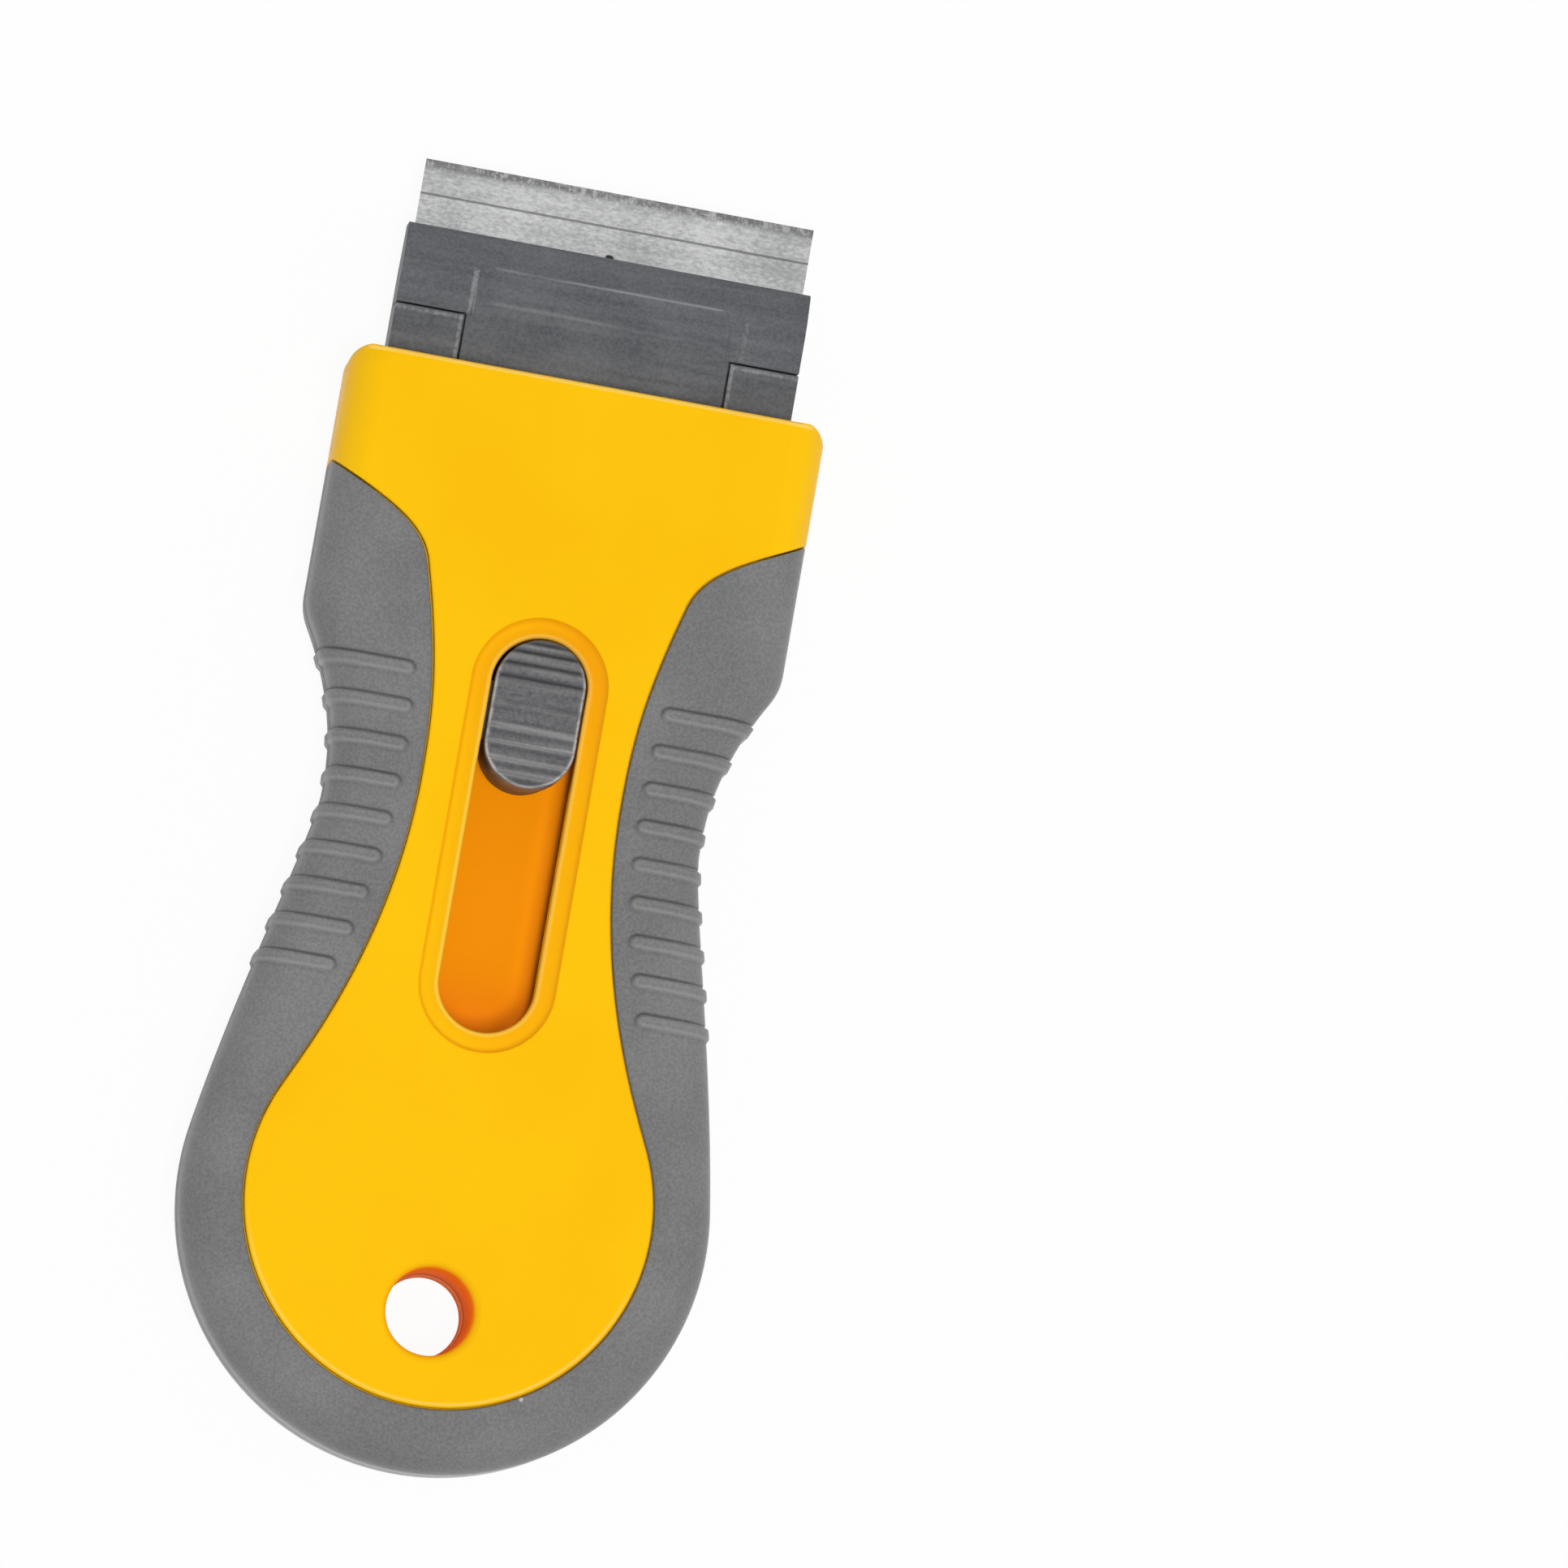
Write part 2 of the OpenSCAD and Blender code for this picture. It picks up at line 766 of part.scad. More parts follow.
// steel leaf that carries the lock teeth and lifts the thumb button
module lock_spring() {
    tooth_out = tooth_x + leaf_t / 2;
    color(dark_steel)
        placed()
            difference() {
                union() {
                    translate([-leaf_w / 2, leaf_back, leaf_z])
                        cube([leaf_w, leaf_l, leaf_t]);
                    translate([-tooth_out, button_at - tooth_l / 2, leaf_z])
                        cube([2 * tooth_out, tooth_l, leaf_t]);
                    both_x()
                        translate([tooth_out - leaf_t, button_at - tooth_l / 2, leaf_z])
                            cube([leaf_t, tooth_l, rack_z + lock_h - leaf_z]);
                }
                translate([0, stake_at, leaf_z - eps])
                    cylinder(d = stake_d + 2 * fit_gap, h = leaf_t + 2 * eps);
            }
}

module thumb_button() {
    top = body_t + button_h;
    half_l = button_l / 2;
    // the hollow is part of a cylinder across the button, which leaves a small flat at each end
    half_hollow = half_l - step_pitch / 2;
    hollow_r = (half_hollow * half_hollow + button_dip * button_dip) / (2 * button_dip);
    color(holder_grey)
        placed()
            translate([0, button_at, 0])
                difference() {
                    union() {
                        translate([0, 0, flange_z])
                            linear_extrude(top - flange_z)
                                stadium(button_w, -half_l, half_l);
                        translate([-flange_w / 2, -flange_l / 2, flange_z])
                            cube([flange_w, flange_l, flange_t]);
                        translate([0, 0, leaf_top + fit_gap])
                            linear_extrude(flange_z - leaf_top - fit_gap + eps)
                                stadium(stem_w, -stem_l / 2, stem_l / 2);
                    }
                    translate([0, 0, top - button_dip + hollow_r])
                        rotate([0, 90, 0])
                            cylinder(r = hollow_r, h = far, center = true, $fn = 200);
                    for (end = [-1, 1])
                        for (i = [1:step_count])
                            let (y = half_l - i * step_pitch)
                                translate([0, end * y, top - button_dip + hollow_r - sqrt(hollow_r * hollow_r - y * y)])
                                    rotate([45, 0, 0])
                                        cube([far, step_d, step_d], center = true);
                }
}

front_shell();
rear_shell();
front_grip();
rear_grip();
shell_screws();
blade_carriage();
blade_cover();
razor_blade();
blade_spine();
lock_spring();
thumb_button();
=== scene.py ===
import math
import bpy
import numpy as np
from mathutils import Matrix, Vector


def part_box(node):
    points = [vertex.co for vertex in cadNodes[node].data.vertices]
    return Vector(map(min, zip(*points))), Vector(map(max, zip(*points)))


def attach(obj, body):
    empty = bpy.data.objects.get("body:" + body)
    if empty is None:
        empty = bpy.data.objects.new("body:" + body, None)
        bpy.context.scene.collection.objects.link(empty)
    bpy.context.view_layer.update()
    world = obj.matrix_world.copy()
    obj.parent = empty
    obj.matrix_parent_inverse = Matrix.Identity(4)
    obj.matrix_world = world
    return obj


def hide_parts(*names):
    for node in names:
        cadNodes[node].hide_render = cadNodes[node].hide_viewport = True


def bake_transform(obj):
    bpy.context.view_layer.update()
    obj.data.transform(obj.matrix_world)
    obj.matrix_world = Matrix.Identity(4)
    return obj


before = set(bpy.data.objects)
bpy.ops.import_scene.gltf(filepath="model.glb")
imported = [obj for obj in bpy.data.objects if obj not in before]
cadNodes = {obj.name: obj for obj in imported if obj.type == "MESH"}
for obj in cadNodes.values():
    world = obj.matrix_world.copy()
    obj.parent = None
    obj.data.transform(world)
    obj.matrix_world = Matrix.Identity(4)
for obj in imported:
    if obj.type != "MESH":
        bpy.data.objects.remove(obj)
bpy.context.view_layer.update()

print("frame loaded:", len(cadNodes), "CAD nodes")

mm = 0.001


def boxMm(node):
    low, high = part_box(node)
    return np.array(low) / mm, np.array(high) / mm


shellHigh = boxMm("front_shell")[1]
gripLow, gripHigh = boxMm("front_grip")
holderLow, holderHigh = boxMm("blade_carriage")
coverHigh = boxMm("blade_cover")[1]
bladeHigh = boxMm("razor_blade")[1]
buttonLow, buttonHigh = boxMm("thumb_button")
springLow, springHigh = boxMm("lock_spring")

# lengths in mm; "At" lengths run from the round butt towards the blade
handle = {
    "buttAt": gripLow[1],
    "length": shellHigh[1] - gripLow[1],
    "top": shellHigh[2],
    "bulbWidth": gripHigh[0] - gripLow[0],
    "waistWidth": 37.3,
    "waistAt": 64.8,
    "sideWall": 1.8,           # shell wall under the grip
    "headPlay": 0.35,          # room beside the blade holder
    "shoulderAt": 82.0,
    "shoulderRadius": 1.6,
    "throatAngle": 30.0,
    "cornerRadius": 1.9,
    "edgeIn": 3.8,             # the long edges are quarter ellipses, this far in and this high
    "edgeHeight": 4.5,
    "mouthEdge": 0.6,
    "flankAngle": 9.0,
    "flankPull": 16.0,
    "waistPull": 4.0,
    "throatPull": 2.6,
    "shoulderPull": 9.0,
    "partingEdge": 0.16,       # small break where the two halves meet
    "roof": 2.4,
    "ledgeWidth": 1.4,
    "frontWall": 2.2,
}
grip = {
    "thick": 1.4,
    "ribHeight": 0.3,
    "ribWidth": 1.4,
    "ribPitch": 3.75,
    "ribCount": 9,
    "ribAt": 47.25,
    "ribInset": 2.0,
    "ribSoft": 0.55,           # width of a rib's flank on the butt side
    "ribSteep": 0.26,          # and on the blade side
    "ribGroove": 0.1,          # depth of the crease at a rib's foot
    "ribFoot": 0.1,            # how far out the foot lies, and the crease with it
    "creaseWidth": 0.13,
    "crestIn": 0.35,           # painted highlight on the crest, in from the rib's edge
    "crestWidth": 0.2,
    "seam": 0.17,
    "seamEdge": 0.2,
    "columns": 66,
    "innerColumns": 9,
    "wallRows": 6,
    "ribStep": 0.1,            # spacing of the sections along the outline
    "plainStep": 0.7,
    "tipLength": 2.0,
    "tipRows": 14,
    "tipGap": 0.02,
}
panel = {
    "lobeRadius": 19.95,
    "lobeAt": 26.4,
    "lobeEnd": 24.0,
    "lobePull": 4.1,
    "waistWidth": 19.6,
    "waistAt": 67.5,
    "waistPull": 17.0,
    "neckWidth": 25.6,
    "neckAt": 88.1,
    "neckAngle": 15.5,
    "neckPull": 9.5,
    "flareAt": 97.6,
    "flarePull": 5.4,
    "flareAngle": 38.0,
    "flareEndPull": 4.0,
    "flareOver": 1.0,
    "edge": 0.25,              # rounding of the panel beside the seam
}
handle["middle"] = handle["top"] / 2
handle["sideIn"] = grip["thick"] + handle["sideWall"]
handle["headWidth"] = holderHigh[0] - holderLow[0] + 2 * (handle["headPlay"] + handle["sideIn"])
slot = {
    "width": 9.5,
    "length": 39.1,
    "frontAt": 82.5,
    "rimWidth": 2.0,
    "grooveDepth": 0.4,
    "lipDrop": 0.2,
    "lip": 0.4,
}
hole = {"radius": 4.3, "at": 15.7, "tubeWall": 1.8, "rim": 0.9, "partingGroove": 0.16,
        "rearDraft": 0.3, "rearRim": 0.35}


# points of a cubic curve with end points a, d and pulls b, c, without its first point
def cubic(a, b, c, d, count):
    t = np.linspace(0, 1, count + 1)[1:, None]
    s = 1 - t
    return s ** 3 * a + 3 * s * s * t * b + 3 * s * t * t * c + t ** 3 * d


# points of a parabola from a to c with its corner at b, without its first point
def bend(a, b, c, count):
    t = np.linspace(0, 1, count + 1)[1:, None]
    return (1 - t) ** 2 * a + 2 * (1 - t) * t * b + t * t * c


def arc(centre, radius, start, stop, count):
    angle = np.radians(np.linspace(start, stop, count + 1))[:, None]
    return np.asarray(centre) + radius * np.hstack([np.cos(angle), np.sin(angle)])


# unit vector that leans from +Y towards +X by an angle
def heading(degrees):
    return np.array([math.sin(math.radians(degrees)), math.cos(math.radians(degrees))])


# right half and its mirror image as one closed outline
def mirrored(half):
    return np.vstack([half, half[:0:-1] * [-1, 1]])


# right half of the handle's outline: a circle round the butt, a curve to the waist, the throat,
# the shoulder and the mouth corner; inset draws the sides in, mouthInset the front
def bodyHalf(inset, mouthInset=0.0):
    h = handle
    centre = np.array([0, h["bulbWidth"] / 2])
    radius = h["bulbWidth"] / 2 - inset
    flank = math.radians(h["flankAngle"])
    p = centre + radius * np.array([math.cos(flank), math.sin(flank)])
    w = np.array([h["waistWidth"] / 2 - inset, h["waistAt"]])
    s = np.array([h["headWidth"] / 2 - inset, h["shoulderAt"]])
    u = heading(h["throatAngle"])
    q = s - h["shoulderRadius"] * u
    up = np.array([0, 1])
    corner = [s[0] - h["cornerRadius"], h["length"] - mouthInset - h["cornerRadius"]]
    return np.vstack([
        arc(centre, radius, -90, h["flankAngle"], 90),
        cubic(p, p + h["flankPull"] * heading(-h["flankAngle"]), w - h["waistPull"] * up, w, 48),
        cubic(w, w + h["throatPull"] * up, q - h["shoulderPull"] * u, q, 40),
        bend(q, s, s + h["shoulderRadius"] * up, 10),
        arc(corner, h["cornerRadius"], 0, 90, 12)])


# right edge of the colour panel above its round lobe, let out by some mm
def panelFlank(letOut):
    c = panel
    end = math.radians(c["lobeEnd"])
    up = np.array([0, 1])
    p = np.array([0, c["lobeAt"]]) + (c["lobeRadius"] + letOut) * np.array([math.cos(end), math.sin(end)])
    w = np.array([c["waistWidth"] / 2 + letOut, c["waistAt"]])
    n = np.array([c["neckWidth"] / 2 + letOut, c["neckAt"] - letOut / 2])
    e = np.array([handle["headWidth"] / 2 + c["flareOver"], c["flareAt"] - letOut])
    neck = heading(c["neckAngle"])
    return np.vstack([
        p[None],
        cubic(p, p + c["lobePull"] * heading(-c["lobeEnd"]), w - c["waistPull"] * up, w, 48),
        cubic(w, w + c["waistPull"] / 2.5 * up, n - c["neckPull"] * neck, n, 32),
        cubic(n, n + c["flarePull"] * neck, e - c["flareEndPull"] * heading(c["flareAngle"]), e, 32)])


def panelHalf(letOut):
    lobe = arc([0, panel["lobeAt"]], panel["lobeRadius"] + letOut, -90, panel["lobeEnd"], 80)
    wide = handle["headWidth"]
    ends = [[wide, panel["flareAt"] - letOut], [wide, handle["length"] + wide]]
    return np.vstack([lobe[:-1], panelFlank(letOut), ends])


def insidePanel(x, y, letOut):
    flank = panelFlank(letOut)
    inLobe = np.hypot(x, y - panel["lobeAt"]) < panel["lobeRadius"] + letOut
    inFlank = np.abs(x) < np.interp(y, flank[:, 1], flank[:, 0])
    return np.where(y < flank[0, 1], inLobe, inFlank)


# a mesh object from points in mm measured from the butt
def makeObject(name, points, faces):
    place = (np.asarray(points, float).reshape(-1, 3) + [0, handle["buttAt"], 0]) * mm
    mesh = bpy.data.meshes.new(name)
    mesh.from_pydata(place.tolist(), [], faces)
    mesh.update()
    obj = bpy.data.objects.new(name, mesh)
    bpy.context.scene.collection.objects.link(obj)
    return obj


# a number for each point of a piece, which its material reads
def paint(obj, key, values):
    layer = obj.data.attributes.new(key, "FLOAT", "POINT")
    layer.data.foreach_set("value", np.ascontiguousarray(values, np.float32).ravel())


# quads over a grid of rows and columns, the columns closed into a ring
def ringFaces(rows, columns):
    r = np.arange(rows - 1)[:, None] * columns
    c = np.arange(columns)[None]
    n = (c + 1) % columns
    return np.stack([r + c, r + n, r + columns + n, r + columns + c], -1).reshape(-1, 4).tolist()


# closed solid from rings of points carried from the first ring to the last; the rings run anticlockwise
# seen from the last one, or clockwise
def ringSolid(name, rings, clockwise=False):
    rows, columns = rings.shape[:2]
    last = (rows - 1) * columns
    faces = ringFaces(rows, columns) + [list(range(columns - 1, -1, -1)), list(range(last, last + columns))]
    if clockwise:
        faces = [face[::-1] for face in faces]
    return makeObject(name, rings, faces)


def lift(outline, z):
    return np.column_stack([outline, np.full(len(outline), z)])


def prism(outline, low, high):
    return ringSolid("cutter", np.stack([lift(outline, low), lift(outline, high)]))


def block(x0, x1, y0, y1, low, high):
    return prism(np.array([[x0, y0], [x1, y0], [x1, y1], [x0, y1]], float), low, high)


# surface of revolution: radius and height of each profile point, turned round a vertical axis
def turned(x, y, profile, count=96):
    angle = np.linspace(0, 2 * math.pi, count, endpoint=False)
    ring = np.column_stack([np.cos(angle), np.sin(angle)])
    return ringSolid("cutter", np.stack([lift([x, y] + r * ring, z) for r, z in profile]))


# outline of a bar with round ends along Y
def stadium(halfWidth, start, stop, count=40):
    front = arc([0, stop - halfWidth], halfWidth, 0, 180, count)
    back = arc([0, start + halfWidth], halfWidth, 180, 360, count)
    return np.vstack([front, back])


def carve(target, cutter, operation):
    step = target.modifiers.new("carve", "BOOLEAN")
    step.operation = operation
    step.solver = "EXACT"
    step.object = cutter
    seen = bpy.context.evaluated_depsgraph_get()
    mesh = bpy.data.meshes.new_from_object(target.evaluated_get(seen))
    target.modifiers.clear()
    target.data = mesh
    bpy.data.objects.remove(cutter)


# smooth faces, sharp where two faces turn by more than the angle, normals led by the large faces
def smoothFaces(obj, degrees=34):
    obj.data.shade_smooth()
    obj.data.set_sharp_from_angle(angle=math.radians(degrees))
    normals = obj.modifiers.new("normals", "WEIGHTED_NORMAL")
    normals.keep_sharp = True
    normals.weight = 60


# mirror image of a finished half in the parting plane, faces turned outwards again
def turnOver(obj):
    mesh = obj.data
    points = np.empty(len(mesh.vertices) * 3, np.float32)
    mesh.vertices.foreach_get("co", points)
    points = points.reshape(-1, 3)
    points[:, 2] = handle["top"] * mm - points[:, 2]
    mesh.vertices.foreach_set("co", points.ravel())
    mesh.flip_normals()
    mesh.update()


# half of the handle's form: vertical sides, then inset = edgeIn (1 - cos a) and a fall of
# edge (1 - sin a) round the long edges; the edge runs out to a small one at the mouth
def bodyRings(inset, top, steps=14):
    h = handle
    low = mirrored(bodyHalf(inset))
    high = mirrored(bodyHalf(inset + h["edgeIn"], h["mouthEdge"]))
    turn = (np.abs(low[:, 0]) - h["headWidth"] / 2 + inset + h["cornerRadius"]) / h["cornerRadius"]
    share = np.where(low[:, 1] < h["length"] - h["cornerRadius"], 1, np.clip(turn, 0, 1))
    edge = h["mouthEdge"] + (h["edgeHeight"] - h["mouthEdge"]) * share
    a = np.radians(np.linspace(0, 90, steps + 1))[:, None]
    plan = low + (high - low) * (1 - np.cos(a))[:, :, None]
    rings = np.dstack([plan, top - edge * (1 - np.sin(a))])
    breakIn = low + (high - low) * h["partingEdge"] / h["edgeIn"]
    foot = np.stack([lift(breakIn, h["middle"]), lift(low, h["middle"] + h["partingEdge"])])
    return np.concatenate([foot, rings])


# prism of the colour panel whose upper edge is drawn in by a quarter round
def panelPrism():
    top = handle["top"]
    a = np.radians(np.linspace(0, 72, 7))
    inset = panel["edge"] * (1 - np.cos(a))
    height = top - panel["edge"] * (1 - np.sin(a))
    levels = [(0, handle["middle"] - 1)]
    levels += list(zip(-inset, height))
    levels += [(-2 * panel["edge"], top + 1)]
    return ringSolid("cutter", np.stack([lift(mirrored(panelHalf(d)), z) for d, z in levels]))


# cutter for the thumb slot: from the rim's outer line a shallow groove, falling by
# depth sin(pi t^0.75) + drop t over its width, then a round lip and the wall
def slotCutter():
    top = handle["top"]
    half = slot["width"] / 2
    outer = half + slot["rimWidth"]
    crest = half + slot["lip"]
    t = np.linspace(0, 1, 19) ** 1.4
    fall = slot["grooveDepth"] * np.sin(math.pi * t ** 0.75) + slot["lipDrop"] * t
    groove = np.column_stack([outer - t * (outer - crest), top - fall])
    a = np.radians(np.linspace(90, 180, 8))[1:]
    lip = [crest, top - slot["lipDrop"] - slot["lip"]] + slot["lip"] * np.column_stack([np.cos(a), np.sin(a)])
    profile = np.vstack([[[outer + 0.6, top + 0.5]], groove, lip, [[half, handle["middle"] - 1]]])[::-1]
    start = slot["frontAt"] - slot["length"]
    rings = [lift(stadium(w, start - (w - half), slot["frontAt"] + w - half), z) for w, z in profile]
    return ringSolid("cutter", np.stack(rings))


# cutter for the hang hole: round rim, wall drawn in by the draft, small groove at the parting plane
def holeCutter(rimRadius, draft):
    top = handle["top"]
    r = hole["radius"]
    groove = hole["partingGroove"]
    a = np.radians(np.linspace(0, 78, 8))
    rim = np.column_stack([r - draft + rimRadius * (1 - np.cos(a)), top - rimRadius * (1 - np.sin(a))])
    middle = handle["middle"]
    foot = [[r + groove, middle - 1], [r + groove, middle], [r, middle + groove]]
    profile = np.vstack([foot, rim, [[rim[-1, 0] + 1, top + 0.4]]])
    return turned(0, hole["at"], profile)


shells = {
    "ledgeFront": holderHigh[2] + 0.2,       # the front shell's ledge lies over the holder
    "bedAt": holderLow[2] - 0.2,             # the rear shell's bed carries the slide
    "mouthWidth": holderHigh[0] - holderLow[0] + 0.4,
    "bedWidth": 15.2,
    "rackIn": 6.9,
    "rackOut": 8.3,
    "rackFrontAt": 78.95,
    "rackLength": 31.5,
    "notch": 2.6,
    "notchDepth": 1.2,
    "notchCount": 3,
    "travel": 23.5,
    "screwX": 11.0,
    "screwAt": 31.0,
    "shankRadius": 1.35,
    "headRadius": 2.6,
    "headDepth": 3.4,
    "bossWall": 1.45,
    "headWall": 1.1,
    "shankPlay": 0.05,
    "rimBreak": 0.3,                         # small cone where a screw's head goes in
    "coneDepth": 0.25,
    "into": 0.3,                             # how far posts and tube run into the roof
    "rackInto": 0.2,
    "boreEnd": 0.6,                          # plastic left over a blind bore
    "firstNotch": 4.0,                       # from the rack's front end
}


# what both shells share: panel over a core, hollow with a ledge and a pocket, tube of the hang hole
def shellBlank(name, ledge):
    h = handle
    top = h["top"]
    roof = top - h["roof"]
    blank = ringSolid(name, bodyRings(0, top))
    carve(blank, panelPrism(), "INTERSECT")
    carve(blank, ringSolid("core", bodyRings(grip["thick"], top - grip["thick"])), "UNION")
    hollow = mirrored(bodyHalf(h["sideIn"], h["frontWall"]))
    pocket = mirrored(bodyHalf(h["sideIn"] + h["ledgeWidth"], h["frontWall"]))
    carve(blank, prism(hollow, h["middle"] - 1, ledge), "DIFFERENCE")
    carve(blank, prism(pocket, ledge - 1, roof), "DIFFERENCE")
    tube = hole["radius"] + hole["tubeWall"]
    carve(blank, turned(0, hole["at"], [(tube, h["middle"]), (tube, roof + shells["into"])]), "UNION")
    return blank


def mouthCut(top):
    half = shells["mouthWidth"] / 2
    front = handle["length"]
    return block(-half, half, front - 2 * handle["frontWall"], front + 2, handle["middle"] - 2, top)


def makeFrontShell():
    roof = handle["top"] - handle["roof"]
    shell = shellBlank("frontShell", shells["ledgeFront"])
    back = shells["rackFrontAt"] - shells["rackLength"]
    boss = shells["shankRadius"] + shells["bossWall"]
    for side in (-1, 1):
        x0, x1 = sorted((side * shells["rackIn"], side * shells["rackOut"]))
        rack = block(x0, x1, back, shells["rackFrontAt"], shells["ledgeFront"], roof + shells["rackInto"])
        for i in range(shells["notchCount"]):
            at = shells["rackFrontAt"] - shells["firstNotch"]
            at -= shells["travel"] * i / (shells["notchCount"] - 1)
            floor = shells["ledgeFront"] - 1
            notch = block(x0 - 1, x1 + 1, at - shells["notch"] / 2, at + shells["notch"] / 2,
                          floor, floor + 1 + shells["notchDepth"])
            carve(rack, notch, "DIFFERENCE")
        carve(shell, rack, "UNION")
        x = side * shells["screwX"]
        post = [(boss, handle["middle"]), (boss, roof + shells["into"])]
        shank = shells["shankRadius"]
        bore = [(shank, handle["middle"] - 1), (shank, roof - shells["boreEnd"])]
        carve(shell, turned(x, shells["screwAt"], post, 48), "UNION")
        carve(shell, turned(x, shells["screwAt"], bore, 48), "DIFFERENCE")
    carve(shell, holeCutter(hole["rim"], 0), "DIFFERENCE")
    carve(shell, slotCutter(), "DIFFERENCE")
    carve(shell, mouthCut(shells["ledgeFront"]), "DIFFERENCE")
    smoothFaces(shell)
    return shell


def makeRearShell():
    top = handle["top"]
    roof = top - handle["roof"]
    bed = top - shells["bedAt"]
    shell = shellBlank("rearShell", bed)
    start = slot["frontAt"] - slot["length"]
    half = shells["bedWidth"] / 2
    carve(shell, block(-half, half, start, slot["frontAt"] + 2, bed, roof + shells["rackInto"]), "UNION")
    boss = shells["headRadius"] + shells["headWall"]
    shank = shells["shankRadius"] + shells["shankPlay"]
    head = shells["headRadius"]
    cone = head + shells["rimBreak"]
    for side in (-1, 1):
        x = side * shells["screwX"]
        post = [(boss, handle["middle"]), (boss, roof + shells["into"])]
        carve(shell, turned(x, shells["screwAt"], post, 48), "UNION")
        step = top - shells["headDepth"]
        breakAt = top - shells["coneDepth"]
        bore = [(shank, handle["middle"] - 1), (shank, step), (head, step), (head, breakAt),
                (cone, breakAt + shells["rimBreak"]), (cone, top + 1)]
        carve(shell, turned(x, shells["screwAt"], bore, 64), "DIFFERENCE")
    carve(shell, holeCutter(hole["rearRim"], hole["rearDraft"]), "DIFFERENCE")
    carve(shell, mouthCut(bed), "DIFFERENCE")
    turnOver(shell)
    smoothFaces(shell)
    return shell


# form of the ribs over the plain grip: bars with a round inner end, a gentle flank on the butt side, and
# a steep one with a crease at its foot on the blade side; also the strength of the painted shade in the
# crease and of the painted highlight on the crest
def ribForm(x, y):
    g = grip
    k = np.clip(np.rint((y - g["ribAt"]) / g["ribPitch"]), 0, g["ribCount"] - 1)
    across = y - g["ribAt"] - k * g["ribPitch"]
    flank = panelFlank(0)
    end = np.interp(y - across, flank[:, 1], flank[:, 0]) + g["ribInset"] + g["ribWidth"] / 2
    away = np.hypot(np.maximum(0, end - np.abs(x)), across) - g["ribWidth"] / 2
    bladeSide = np.clip(0.5 + across / (0.8 * g["ribWidth"]), 0, 1)
    soft = g["ribSoft"] + (g["ribSteep"] - g["ribSoft"]) * bladeSide
    t = np.clip((g["ribFoot"] - away) / soft, 0, 1)
    plateau = t * t * (3 - 2 * t)
    crease = np.exp(-((away - g["ribFoot"]) / g["creaseWidth"]) ** 2) * (0.2 + 0.8 * bladeSide)
    crest = np.exp(-((away + g["crestIn"]) / g["crestWidth"]) ** 2) * (1 - bladeSide)
    return g["ribHeight"] * plateau - g["ribGroove"] * crease, crease, crest


# height of the rounded form at a distance in from its outline
def edgeFall(inset, top):
    c = np.clip(1 - inset / handle["edgeIn"], 0, 1)
    return top - handle["edgeHeight"] * (1 - np.sqrt(1 - c * c))


